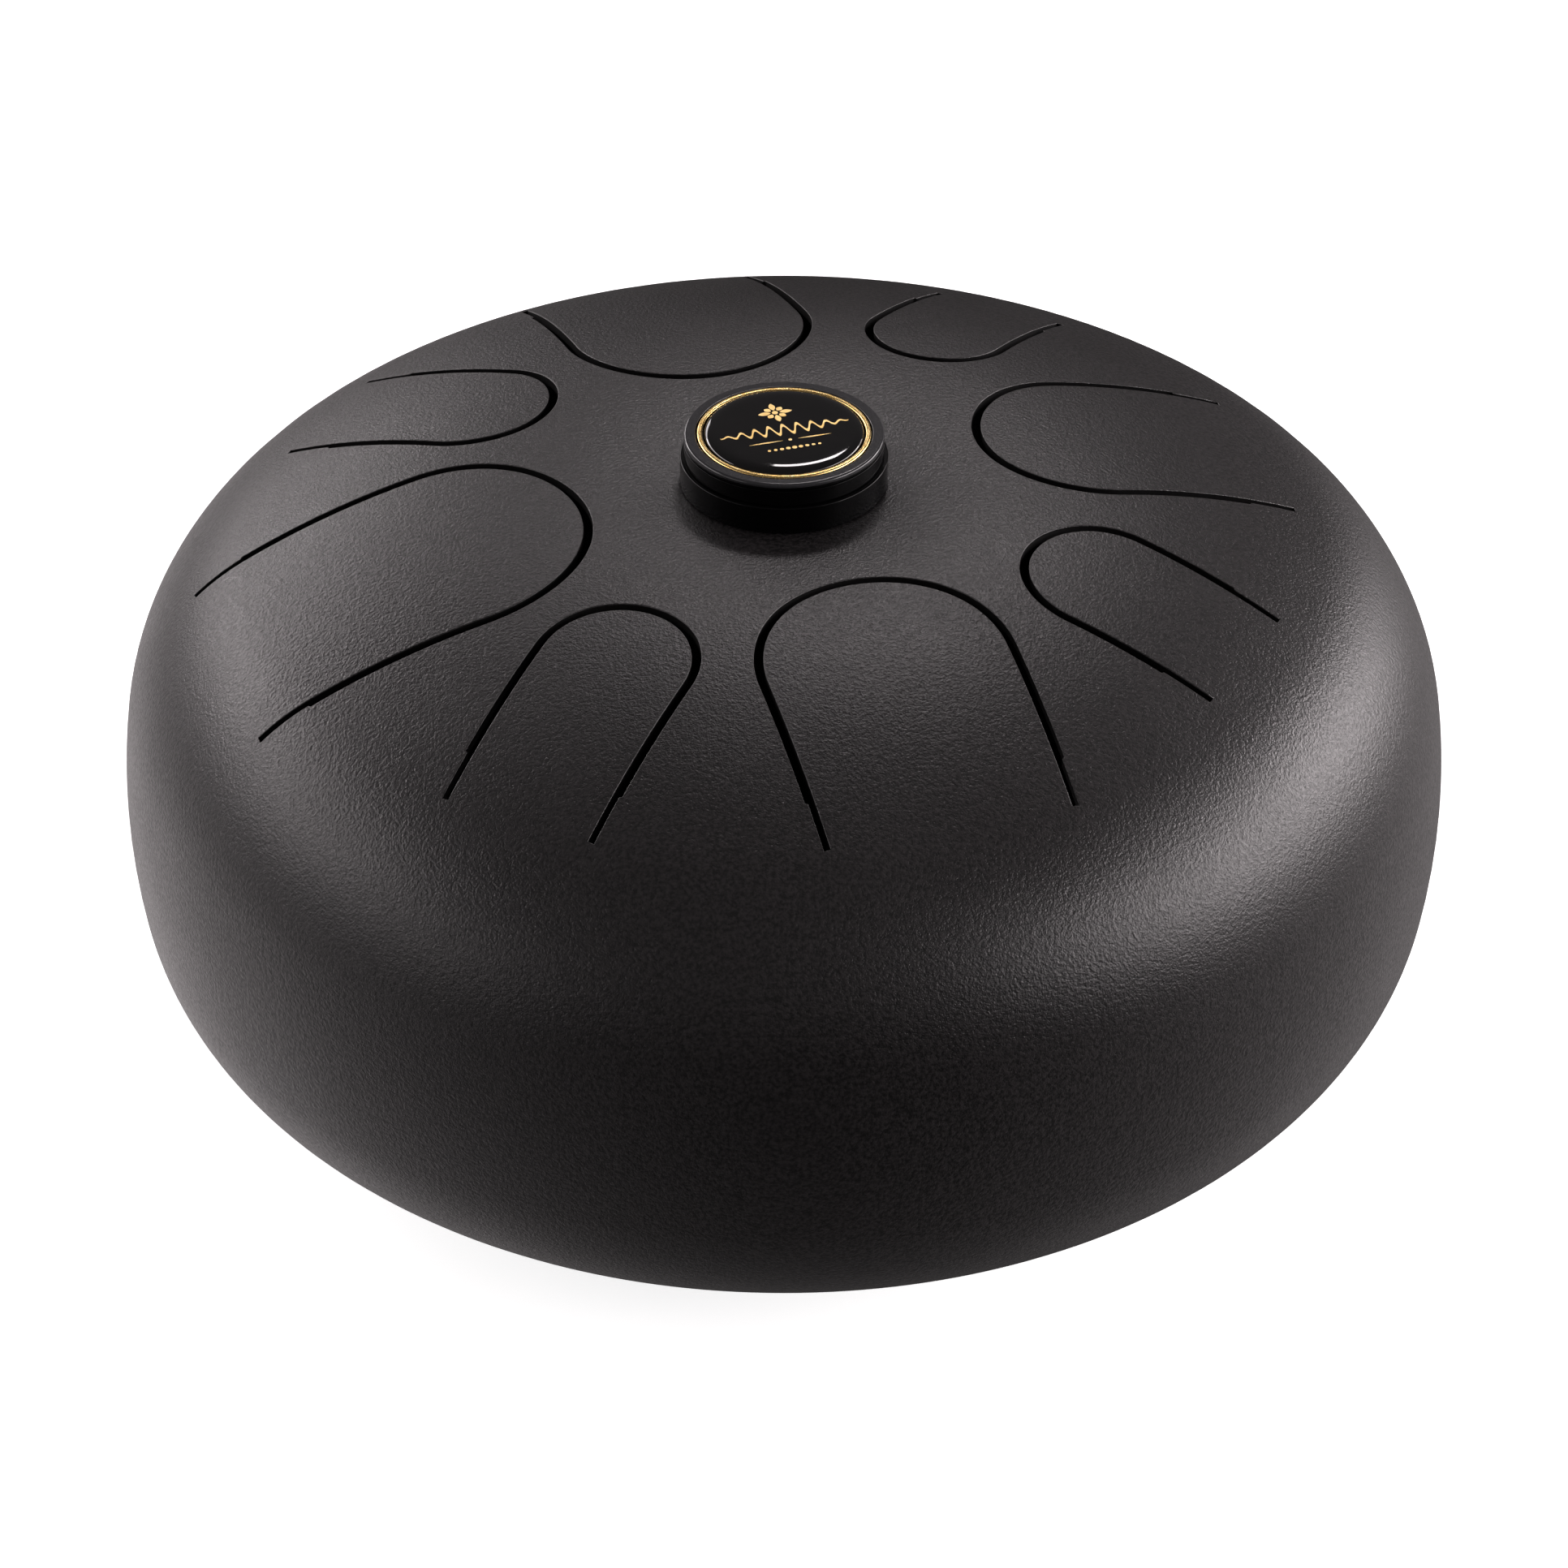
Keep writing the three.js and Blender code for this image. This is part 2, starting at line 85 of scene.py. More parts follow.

# Fineness
ROUND_STEPS = 240
LIP_STEPS = 120
BORE_STEPS = 24
FOOT_BORE_STEPS = 16
TIP_STEPS = 72
ROOT_STEPS = 20
PUCK_STEPS = 144
CUT_ANGLE = 50  # fall angle where the filled plan ends and the turned rows start
OUTER_SPACING = 3.2 * MM
INNER_SPACING = 7 * MM
FLOOR_SPACING = 5 * MM
LEG_SPACING = 1.6 * MM
SLOT_END_COUNTS = (3, 7, 2)  # points over the slot's end, along its narrow part and over its step
EDGE_ROWS = 4
JOIN_DISTANCE = 2e-7
NO_TURN = 1e-6
CLEAR_OF_EDGE = 0.55  # the least gap from a filled plan's own points to its edge, in spacings
FLAT_SHARE = 1e-5  # a triangle with less area than this share of a cell has its corners in a line
BATCH = 400  # edge points compared with a plan's own points at a time


def sin(angle):
    return np.sin(np.radians(angle))


def cos(angle):
    return np.cos(np.radians(angle))


# ---- mesh building


class Patchwork:
    """Patches of faces with a normal at every corner, joined into one mesh where they meet."""

    def __init__(self):
        self.points = []
        self.faces = []
        self.normals = []
        self.shades = []
        self.count = 0

    def add(self, points, faces, normals, shade=0):
        """faces index points and normals, which go vertex by vertex. shade picks the material."""
        points = np.asarray(points, float).reshape(-1, 3)
        normals = np.asarray(normals, float).reshape(-1, 3)
        faces = np.asarray(faces, int)
        corner = points[faces]
        across = np.cross(corner[:, 1] - corner[:, 0], corner[:, -1] - corner[:, 0])
        other = np.cross(corner[:, 2] - corner[:, 1], corner[:, 0] - corner[:, 1])
        facing = np.einsum("ij,ij->i", across + other, normals[faces].sum(1))
        faces = faces.copy()
        faces[facing < 0] = faces[facing < 0][:, ::-1]
        self.points.append(points)
        self.faces.append(faces + self.count)
        self.normals.append(normals)
        self.shades.append(shade)
        self.count += len(points)

    def add_grid(self, points, normals, closed=False, shade=0):
        """points and normals are rows by columns by 3. closed joins the last column to the first."""
        rows, columns = points.shape[:2]
        index = np.arange(rows * columns).reshape(rows, columns)
        if closed:
            index = np.hstack([index, index[:, :1]])
        faces = np.stack([index[:-1, :-1], index[1:, :-1], index[1:, 1:], index[:-1, 1:]], -1)
        self.add(points, faces.reshape(-1, 4), normals, shade)

    def build(self, name, *materials):
        points = np.vstack(self.points)
        normals = np.vstack(self.normals)
        keys = np.round(points / JOIN_DISTANCE).astype(np.int64)
        unused, first, joined = np.unique(keys, axis=0, return_index=True, return_inverse=True)
        rings, corner_normals, shades = self.joined_faces(joined.ravel(), normals)
        mesh = bpy.data.meshes.new(name)
        mesh.from_pydata(points[first].tolist(), [], rings)
        mesh.shade_smooth()
        for material in materials:
            mesh.materials.append(material)
        mesh.polygons.foreach_set("material_index", shades)
        lengths = np.linalg.norm(corner_normals, axis=1, keepdims=True)
        mesh.normals_split_custom_set((np.array(corner_normals) / lengths).tolist())
        return add_object(name, mesh)

    def joined_faces(self, joined, normals):
        """Rings of joined vertices, a normal for each corner and a shade for each ring. A face that
        joining has closed up is left out."""
        rings, corner_normals, shades = [], [], []
        for patch, shade in zip(self.faces, self.shades):
            for face in patch:
                ring = joined[face]
                keep = [i for i in range(len(ring)) if ring[i] != ring[i - 1]]
                if len(set(ring[keep])) < 3:
                    continue
                rings.append([int(ring[i]) for i in keep])
                shades.append(shade)
                corner_normals.extend(normals[face[i]] for i in keep)
        return rings, corner_normals, shades


def add_object(name, data):
    made = bpy.data.objects.new(name, data)
    bpy.context.scene.collection.objects.link(made)
    return made


def ring_angles(steps):
    return np.arange(steps) * (2 * np.pi / steps)


def add_turned(work, stroke, steps, centre=(0, 0)):
    """Turns a stroke of (radius, height, radial normal, upward normal) rows round a vertical axis."""
    angle = ring_angles(steps)
    radius, height, outward, upward = [column[:, None] for column in np.asarray(stroke).T]
    flat = np.ones_like(angle)[None, :]
    x, y = np.cos(angle)[None, :], np.sin(angle)[None, :]
    points = np.stack([centre[0] + radius * x, centre[1] + radius * y, height * flat], -1)
    normals = np.stack([outward * x, outward * y, upward * flat], -1)
    work.add_grid(points, normals, closed=True)


def right_of(way):
    return np.array([way[1], -way[0]])


def rounded_corner(point, into, out, rounding, arc_steps):
    """Rows round one corner, between the unit ways into it and out of it."""
    angle = math.atan2(into[0] * out[1] - into[1] * out[0], float(into @ out))
    if rounding == 0 or abs(angle) < NO_TURN:
        return [[*point, *right_of(into)], [*point, *right_of(out)]]
    back = rounding * math.tan(abs(angle) / 2)
    side = -1 if angle > 0 else 1
    start = right_of(into)
    centre = point - into * back + side * rounding * start
    rows = []
    for step in range(arc_steps + 1):
        c, s = math.cos(angle * step / arc_steps), math.sin(angle * step / arc_steps)
        normal = np.array([start[0] * c - start[1] * s, start[0] * s + start[1] * c])
        rows.append([*(centre - side * rounding * normal), *normal])
    return rows


def rounded_stroke(corners, arc_steps):
    """A closed profile of (radius, height, rounding) corners as one stroke with rounded corners.
    The solid is on the left of the way along it, so the normals point right."""
    place = np.array([corner[:2] for corner in corners], float)
    rows = []
    for i, (unused, unused, rounding) in enumerate(corners):
        into = place[i] - place[i - 1]
        out = place[(i + 1) % len(corners)] - place[i]
        into, out = into / np.linalg.norm(into), out / np.linalg.norm(out)
        rows.extend(rounded_corner(place[i], into, out, rounding, arc_steps))
    return np.array([*rows, rows[0]])


def add_turned_part(
    name, corners, material, slot_name, nodes, steps=PUCK_STEPS, centre=(0, 0), arc_steps=8
):
    work = Patchwork()
    add_turned(work, rounded_stroke(corners, arc_steps), steps, centre)
    finish_piece(work.build(name, material), slot_name, *nodes)


def inside(points, loop):
    """Which plan points are inside a closed loop."""
    x, y = points[:, 0][:, None], points[:, 1][:, None]
    ax, ay = loop[:, 0][None, :], loop[:, 1][None, :]
    bx, by = np.roll(ax, -1), np.roll(ay, -1)
    spans = (ay > y) != (by > y)
    rise = np.where(by == ay, 1.0, by - ay)
    crossing = ax + (y - ay) / rise * (bx - ax)
    return (np.sum(spans & (x < crossing), axis=1) % 2) == 1


def in_area(points, outer, holes):
    """Which plan points are inside outer and outside the holes."""
    keep = inside(points, outer)
    for hole in holes:
        keep &= ~inside(points, hole)
    return keep


def plan_grid(outer, holes, spacing):
    """Points in even triangles over the plan, clear of its edges."""
    low, high = outer.min(0), outer.max(0)
    rows = []
    for index, y in enumerate(np.arange(low[1], high[1], spacing * math.sqrt(3) / 2)):
        x = np.arange(low[0] + (index % 2) * spacing / 2, high[0], spacing)
        rows.append(np.stack([x, np.full_like(x, y)], -1))
    grid = np.vstack(rows)
    grid = grid[in_area(grid, outer, holes)]
    edge = np.vstack([outer, *holes])
    nearest = np.full(len(grid), np.inf)
    for start in range(0, len(edge), BATCH):
        gaps = np.linalg.norm(grid[:, None] - edge[None, start:start + BATCH], axis=2)
        nearest = np.minimum(nearest, gaps.min(1))
    return grid[nearest > spacing * CLEAR_OF_EDGE]


def loop_sides(loops):
    sides, start = [], 0
    for loop in loops:
        index = np.arange(len(loop)) + start
        sides.extend(zip(index.tolist(), np.roll(index, -1).tolist()))
        start += len(loop)
    return sides


def filled_plan(outer, holes, spacing):
    """Triangles over the plan inside outer and outside the holes: (points, triangles)."""
    points = np.vstack([outer, *holes, plan_grid(outer, holes, spacing)])
    # the triangulation works best near unit size
    scaled = [Vector(point) for point in (points / spacing).tolist()]
    made = delaunay_2d_cdt(scaled, loop_sides([outer, *holes]), [], 0, 1e-5)
    filled = np.array([tuple(point) for point in made[0]]) * spacing
    triangles = np.array(made[2])
    corner = filled[triangles]
    first, second = corner[:, 1] - corner[:, 0], corner[:, 2] - corner[:, 0]
    doubled_area = np.abs(first[:, 0] * second[:, 1] - first[:, 1] * second[:, 0])
    keep = in_area(corner.mean(1), outer, holes) & (doubled_area > FLAT_SHARE * spacing**2)
    # the given points go back exactly, so that patches meet
    for index, sources in enumerate(made[3]):
        if sources:
            filled[index] = points[sources[0]]
    return filled, triangles[keep]


def placed(plan, height):
    height = np.broadcast_to(height, (len(plan),))
    return np.hstack([plan, height[:, None]])


def add_level_face(work, outer, holes, spacing, height, facing, centre=(0, 0)):
    plan, triangles = filled_plan(outer, holes, spacing)
    points = placed(plan, height) + [*centre, 0]
    work.add(points, triangles, np.broadcast_to([0.0, 0.0, float(facing)], points.shape))


# ---- outline of the body


def fall_vector(angle):
    return np.array([sin(angle), cos(angle)])


def over_arc(radius, centre, arc_radius, low):
    """Height and fall angle, at a radius, of an arc that is level low past its centre."""
    over = np.clip(radius - centre[0], low, arc_radius)
    return centre[1] + np.sqrt(arc_radius**2 - over**2), np.degrees(np.arcsin(over / arc_radius))


class Outline:
    """The body's outline, worked out from the drum's radius and underside as the CAD does."""

    def __init__(self, drum_radius, underside):
        crest = underside + BODY_HEIGHT
        crown_reach = sin(CROWN_ANGLE) + sin(DISH_ANGLE)
        crown_drop = 1 - cos(CROWN_ANGLE)
        side_reach = 1 - sin(SHOULDER_ANGLE)
        side_drop = cos(SHOULDER_ANGLE) - cos(SIDE_ANGLE)
        reach = drum_radius - DISH_RADIUS * sin(DISH_ANGLE)
        reach -= SHOULDER_RADIUS * (sin(SHOULDER_ANGLE) - sin(CROWN_ANGLE))
        drop = BODY_HEIGHT - SHOULDER_RADIUS * (cos(CROWN_ANGLE) - cos(SHOULDER_ANGLE))
        drop -= HEEL_RADIUS * (cos(SIDE_ANGLE) + 1)
        self.crown, self.side = np.linalg.solve(
            [[crown_reach, side_reach], [crown_drop, side_drop]], [reach, drop]
        )
        dish_edge = DISH_RADIUS * sin(DISH_ANGLE)
        self.crown_centre = np.array([dish_edge + self.crown * sin(DISH_ANGLE), crest - self.crown])
        self.shoulder_centre = self.crown_centre + fall_vector(CROWN_ANGLE) * (self.crown - SHOULDER_RADIUS)
        side_way = fall_vector(SHOULDER_ANGLE) * (SHOULDER_RADIUS - self.side)
        self.side_centre = self.shoulder_centre + side_way
        self.heel_centre = self.side_centre + fall_vector(SIDE_ANGLE) * (self.side - HEEL_RADIUS)
        self.dish_height = self.crown_centre[1] + (self.crown + DISH_RADIUS) * cos(DISH_ANGLE)
        self.underside = underside

    def arc(self, centre, radius, inset, start, end, steps):
        """A stroke along one arc of the face at this inset, facing out of the sheet."""
        angles = np.linspace(start, end, steps + 1)
        way = np.stack([sin(angles), cos(angles)], -1)
        facing = 1 if inset == 0 else -1
        return np.hstack([centre + way * (radius - inset), way * facing])

    def side_angle(self, above_seam, inset):
        return float(np.degrees(np.arccos(above_seam / (self.side - inset))))

    def top(self, plan, inset):
        """Height and fall angle of the top's face over plan points."""
        radius = np.linalg.norm(plan, axis=-1)
        dish_radius = DISH_RADIUS + inset
        in_dish = np.minimum(radius, dish_radius * sin(DISH_ANGLE))
        dish = self.dish_height - np.sqrt(dish_radius**2 - in_dish**2)
        dish_fall = -np.degrees(np.arcsin(in_dish / dish_radius))
        crown_radius = self.crown - inset
        crown, crown_fall = over_arc(radius, self.crown_centre, crown_radius, -crown_radius)
        shoulder, shoulder_fall = over_arc(radius, self.shoulder_centre, SHOULDER_RADIUS - inset, 0)
        crown_edge = self.crown_centre[0] + crown_radius * sin(CROWN_ANGLE)
        zones = [radius < dish_radius * sin(DISH_ANGLE), radius < crown_edge]
        height = np.select(zones, [dish, crown], shoulder)
        return height, np.select(zones, [dish_fall, crown_fall], shoulder_fall)

    def height_at(self, radius, inset=0):
        return self.top(np.array([[radius, 0.0]]), inset)[0][0]

    def lift(self, plan, inset):
        """Points and outward normals of the top's face over plan points."""
        height, fall = self.top(plan, inset)
        radius = np.maximum(np.linalg.norm(plan, axis=-1), 1e-9)
        outward = plan / radius[..., None]
        normals = np.concatenate([outward * sin(fall)[..., None], cos(fall)[..., None]], -1)
        return np.concatenate([plan, height[..., None]], -1), normals


seam_low, seam_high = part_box("seam_weld")
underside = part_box("bottom_shell")[0].z
outline = Outline(seam_high.x, underside)
seam_top = (seam_high.z - seam_low.z) / 2


# ---- tongues and slots


class Tongue:
    """One tongue, read from its CAD node and its joint."""

    def __init__(self, node, joint):
        pivot = np.array(joint["pos_m"])
        self.node = node
        self.body = joint["child"]
        self.azimuth = math.atan2(pivot[1], pivot[0])
        self.along = np.array([math.cos(self.azimuth), math.sin(self.azimuth)])
        self.across = np.array([-self.along[1], self.along[0]])
        plan = np.array([tuple(vertex.co)[:2] for vertex in frame["nodes"][node].data.vertices])
        self.tip = float((plan @ self.along).min())
        self.half_width = float((plan @ self.across).max())
        self.root = float(pivot[:2] @ self.along) + ROOT_GAP / 2
        self.head = self.tip + self.half_width

    def world(self, local):
        return local[..., :1] * self.along + local[..., 1:] * self.across

    def path(self, corners, counts):
        """Points from each corner up to but not including the next."""
        pieces = []
        for start, end, count in zip(corners, corners[1:], counts):
            share = np.arange(count)[:, None] / count
            pieces.append(np.array(start) * (1 - share) + np.array(end) * share)
        return np.vstack(pieces)

    def mirrored(self, half, radius):
        """One side's path, the round tip and the other side's."""
        angle = np.linspace(np.pi / 2, 3 * np.pi / 2, TIP_STEPS + 1)[:, None]
        tip = np.hstack([self.head + radius * np.cos(angle), radius * np.sin(angle)])
        return np.vstack([half, tip, half[::-1] * [1, -1]])

    def leg_count(self, start):
        return max(2, int(round(abs(start - self.head) / LEG_SPACING)))

    def shell_side(self, back):
        """The slot's outer edge, set back into the shell's steel, from root corner to root corner."""
        root = self.root + back
        step = root - SLOT_END_LENGTH
        narrow = self.half_width + SLOT_END_WIDTH + back
        wide = self.half_width + SLOT_WIDTH + back
        corners = [
            (root, self.half_width - back),
            (root, narrow),
            (step, narrow),
            (step - SLOT_STEP_SLANT, wide),
            (self.head, wide),
        ]
        counts = (*SLOT_END_COUNTS, self.leg_count(step - back))
        return self.mirrored(self.path(corners, counts), wide)

    def tongue_side(self, back):
        """The slot's inner edge, set back into the tongue's steel, from root corner to root corner."""
        reach = self.half_width - back
        corners = [(self.root + back, reach), (self.head, reach)]
        return self.mirrored(self.path(corners, [self.leg_count(self.root)]), reach)

    def root_line(self, back):
        """The line that the tongue bends about, between the two sides' root corners."""
        reach = self.half_width - back
        return np.stack([
            np.full(ROOT_STEPS + 1, self.root + back),
            np.linspace(-reach, reach, ROOT_STEPS + 1),
        ], -1)

    def facing(self, path, into_slot):
        """Plan normals along a path, pointing into the slot."""
        way = np.gradient(path, axis=0)
        way /= np.linalg.norm(way, axis=1, keepdims=True)
        return np.stack([way[:, 1], -way[:, 0]], -1) * into_slot


def edge_drops():
    """(set-back, drop, share of the wall's normal) down the rounded edge of a cut."""
    swing = np.linspace(0, np.pi / 2, EDGE_ROWS + 1)
    return [(EDGE_ROUND * (1 - math.sin(a)), EDGE_ROUND * (1 - math.cos(a)), a) for a in swing]


def add_cut_edge(work, tongue, side, into_slot):
    """The rounded edge and the wall of one side of a slot."""
    rows, normals = [], []
    for back, drop, swing in edge_drops():
        path = side(back)
        points, surface = outline.lift(tongue.world(path), 0)
        wall = tongue.world(tongue.facing(path, into_slot))
        wall = np.hstack([wall, np.zeros((len(wall), 1))])
        rows.append(points - [0, 0, drop])
        normals.append(surface * math.cos(swing) + wall * math.sin(swing))
    work.add_grid(np.array(rows), np.array(normals))
    floor, unused = outline.lift(tongue.world(side(0)), WALL)
    # the wall takes the second material, a painted shadow: deep black for the shade inside the slot
    work.add_grid(np.array([rows[-1], floor]), np.array([wall, wall]), shade=1)


def add_root_face(work, tongue, facing):
    """The hidden face at the root, where the shell and the tongue are one steel on the real drum."""
    rows = []
    for back, drop, unused in edge_drops():
        points, unused = outline.lift(tongue.world(tongue.root_line(back)), 0)
        rows.append(points - [0, 0, drop])
    floor, unused = outline.lift(tongue.world(tongue.root_line(0)), WALL)
    rows.append(floor)
    grid = np.array(rows)
    way = np.array([*(tongue.along * facing), 0.0])
    # the root face takes the painted-shadow material too, dark for the shade in the gap at the root
    work.add_grid(grid, np.broadcast_to(way, grid.shape).copy(), shade=1)


def add_filled_top(work, outer, holes, inset, spacing):
    plan, triangles = filled_plan(outer, holes, spacing)
    points, normals = outline.lift(plan, inset)
    work.add(points, triangles, normals if inset == 0 else -normals)


def plan_circle(radius, steps, centre=(0, 0)):
    angle = ring_angles(steps)
    return np.stack([centre[0] + radius * np.cos(angle), centre[1] + radius * np.sin(angle)], -1)


def make_tongue(tongue, *materials):
    work = Patchwork()
    add_cut_edge(work, tongue, tongue.tongue_side, 1)
    add_root_face(work, tongue, 1)
    for inset, back, spacing in ((0, EDGE_ROUND, OUTER_SPACING), (WALL, 0, INNER_SPACING)):
        loop = np.vstack([tongue.tongue_side(back), tongue.root_line(back)[1:-1]])
        add_filled_top(work, tongue.world(loop), [], inset, spacing)
    piece = work.build(f"{tongue.node}_blade", *materials)
    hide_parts(tongue.node)
    start = bend_point(tongue, tongue.root)
    end = bend_point(tongue, tongue.root - (tongue.root - tongue.tip) * BEND_SHARE)
    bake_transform(piece)


def bend_point(tongue, reach):
    points, unused = outline.lift(tongue.world(np.array([[reach, 0.0]])), WALL / 2)
    return tuple(points[0])


def make_top_shell(tongues, *materials):
    work = Patchwork()
    for tongue in tongues:
        add_cut_edge(work, tongue, tongue.shell_side, -1)
        add_root_face(work, tongue, -1)
    for inset, back, spacing in ((0, EDGE_ROUND, OUTER_SPACING), (WALL, 0, INNER_SPACING)):
        radius = outline.shoulder_centre[0] + (SHOULDER_RADIUS - inset) * sin(CUT_ANGLE)
        holes = [plan_circle(BORE_RADIUS, BORE_STEPS)]
        for tongue in tongues:
            loop = np.vstack([tongue.shell_side(back), tongue.root_line(back)[1:-1]])
            holes.append(tongue.world(loop))
        add_filled_top(work, plan_circle(radius, ROUND_STEPS), holes, inset, spacing)
    add_bore(work, BORE_STEPS, [outline.height_at(BORE_RADIUS, inset) for inset in (0, WALL)])
    ends = []
    for inset, steps in ((0, 14), (WALL, 8)):
        end = outline.side_angle(seam_top, inset)
        add_turned(work, outline.arc(
            outline.shoulder_centre, SHOULDER_RADIUS, inset, CUT_ANGLE, SHOULDER_ANGLE, steps
        ), ROUND_STEPS)
        stroke = outline.arc(outline.side_centre, outline.side, inset, SHOULDER_ANGLE, end, 4)
        add_turned(work, stroke, ROUND_STEPS)
        ends.append(stroke[-1])
    add_rim(work, ends, -1)
    piece = work.build("top_shell_skin", *materials)
    finish_piece(piece, "shell_coat", "top_shell")


def add_rim(work, ends, upward):
    """The flat edge of a shell, between the ends of its outer and inner faces."""
    rows = [[end[0], end[1], 0, upward] for end in ends]
    add_turned(work, rows, ROUND_STEPS)


def add_bore(work, steps, heights, centre=(0, 0)):
    rows = [[BORE_RADIUS, height, -1, 0] for height in heights]
    add_turned(work, rows, steps, centre)


def finish_piece(piece, slot_name, *nodes):
    if nodes:
        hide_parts(*nodes)
    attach(piece, "drum")


# ---- bottom shell and weld


def foot_places():
    places = []
    for index in range(1, 5):
        low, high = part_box(f"foot_{index}")
        places.append(((low.x + high.x) / 2, (low.y + high.y) / 2))
    return places


def make_bottom_shell(material):
    work = Patchwork()
    lip_centre = np.array([PORT_RADIUS + LIP_RADIUS, outline.underside + LIP_RADIUS])
    ends, tops = [], []
    for inset, facing, spacing, heel_rows in ((0, -1, FLOOR_SPACING, 26), (WALL, 1, INNER_SPACING, 14)):
        start = outline.side_angle(-seam_top, inset)
        side = outline.arc(outline.side_centre, outline.side, inset, start, SIDE_ANGLE, 4)
        heel = outline.arc(outline.heel_centre, HEEL_RADIUS, inset, SIDE_ANGLE, LEVEL_UNDERSIDE, heel_rows)
        add_turned(work, side, ROUND_STEPS)
        add_turned(work, heel, ROUND_STEPS)
        ends.append(side[0])
        lip_end = LEVEL_UNDERSIDE + UPRIGHT
        lip = outline.arc(lip_centre, LIP_RADIUS, inset, LEVEL_UNDERSIDE, lip_end, 6)
        collar = np.array([lip[-1], lip[-1]])
        collar[1, 1] = outline.underside + LIP_HEIGHT - EDGE_ROUND
        add_turned(work, lip, LIP_STEPS)
        add_turned(work, collar, LIP_STEPS)
        tops.append(collar[1])
        holes = [plan_circle(BORE_RADIUS, FOOT_BORE_STEPS, place) for place in foot_places()]
        holes.append(plan_circle(lip_centre[0], LIP_STEPS))
        outer = plan_circle(outline.heel_centre[0], ROUND_STEPS)
        add_level_face(work, outer, holes, spacing, outline.underside + inset, facing)
    for place in foot_places():
        add_bore(work, FOOT_BORE_STEPS, [outline.underside, outline.underside + WALL], place)
    add_rim(work, ends, 1)
    add_lip_edge(work, tops)
    piece = work.build("bottom_shell_skin", material)
    finish_piece(piece, "shell_coat", "bottom_shell")


def add_lip_edge(work, tops):
    """The rounded-over top of the port's collar."""
    inner, outer = tops[0][0], tops[1][0]
    base = tops[0][1]
    middle, half = (inner + outer) / 2, (outer - inner) / 2
    rows = []
    for angle in np.linspace(180, 0, 9):
        rows.append([middle + half * cos(angle), base + EDGE_ROUND * sin(angle), cos(angle), sin(angle)])
    add_turned(work, rows, LIP_STEPS)


def make_weld(material):
    """A band flush with the outside, and a low bead inside."""
    work = Patchwork()
    bands = []
    for inset, rows in ((0, 4), (WALL, 6)):
        start = outline.side_angle(seam_top, inset)
        end = LEVEL_UNDERSIDE - start
        bands.append(outline.arc(outline.side_centre, outline.side, inset, start, end, rows))
    outer, inner = bands
    bead = WELD_BEAD * np.cos(np.linspace(-np.pi / 2, np.pi / 2, len(inner)))
    inner[:, 0] -= bead
    add_turned(work, outer, ROUND_STEPS)
    add_turned(work, inner, ROUND_STEPS)
    for end, upward in ((0, 1), (-1, -1)):
        add_rim(work, [outer[end], inner[end]], upward)
    piece = work.build("seam_weld_band", material)
    finish_piece(piece, "weld_coat", "seam_weld")


# ---- puck

PAD_ROWS = 16
DOME_ROWS = 40
CAP_RIM_WIDTH = 2.6 * MM
CAP_RIM_THICKNESS = 0.9 * MM
CAP_EDGE_ROUND = 0.6 * MM
CAP_GROOVE_DEPTH = 0.3 * MM
CAP_GROOVE_DROP = 1.5 * MM
CAP_GROOVE_WIDTH = 0.35 * MM
CAP_GROOVE_SLANT = 0.3
CAP_FOOT_ROUND = 0.35 * MM
BASE_ROUND = 0.3 * MM
SMALL_ROUND = 0.2 * MM
RING_WIDTH = 1.3 * MM
RING_ROUND = 0.5 * MM
HEAD_RADIUS = 4 * MM
SHANK_RADIUS = 2 * MM
THREAD_PITCH = 0.7 * MM
THREAD_DEPTH = 0.35 * MM
FINE_ROUND = 0.12 * MM
SEATED_GAP = 0.03 * MM
SKIRT_GAP = 0.12 * MM
BADGE_EDGE = 0.55 * MM
DOME_POWER = 14
INLAY_RISE = 0.05 * MM


def level(node):
    low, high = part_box(node)
    return low.z, high.z


def width(node):
    low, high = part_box(node)
    return (high.x - low.x) / 2


def make_pad(material):
    """Lies on the dish below and is level above."""
    edge = width("puck_pad")
    rounded = edge - FINE_ROUND
    upper = level("puck_base")[0] - SEATED_GAP
    radius = np.linspace(BORE_RADIUS, rounded, PAD_ROWS)
    height, fall = outline.top(np.stack([radius, np.zeros_like(radius)], -1), 0)
    height = height + SEATED_GAP
    work = Patchwork()
    add_turned(work, [
        *np.stack([radius, height, -sin(fall), -cos(fall)], -1),
        [rounded, height[-1], 0, -1],
        [edge, height[-1] + FINE_ROUND, 1, 0],
        [edge, upper - FINE_ROUND, 1, 0],
        [rounded, upper, 0, 1],
        [BORE_RADIUS, upper, 0, 1],
        [BORE_RADIUS, upper, -1, 0],
        [BORE_RADIUS, height[0], -1, 0],
    ], PUCK_STEPS)
    finish_piece(work.build("puck_pad_disc", material), "pad_rubber", "puck_pad")


def make_base(material):
    """A disc with a skirt that hides the pad's edge."""
    floor = level("puck_base")[0]
    edge = width("puck_base")
    top = level("puck_cap")[0] - SEATED_GAP
    skirt_floor = outline.height_at(edge) + SKIRT_GAP
    skirt_inside = width("puck_pad") + SKIRT_GAP
    add_turned_part("puck_base_disc", [
        (BORE_RADIUS, floor, FINE_ROUND),
        (skirt_inside, floor, 0),
        (skirt_inside, skirt_floor, 0),
        (edge, skirt_floor, SMALL_ROUND),
        (edge, top, BASE_ROUND),
        (BORE_RADIUS, top, FINE_ROUND),
    ], material, "puck_plastic", ["puck_base"], arc_steps=5)


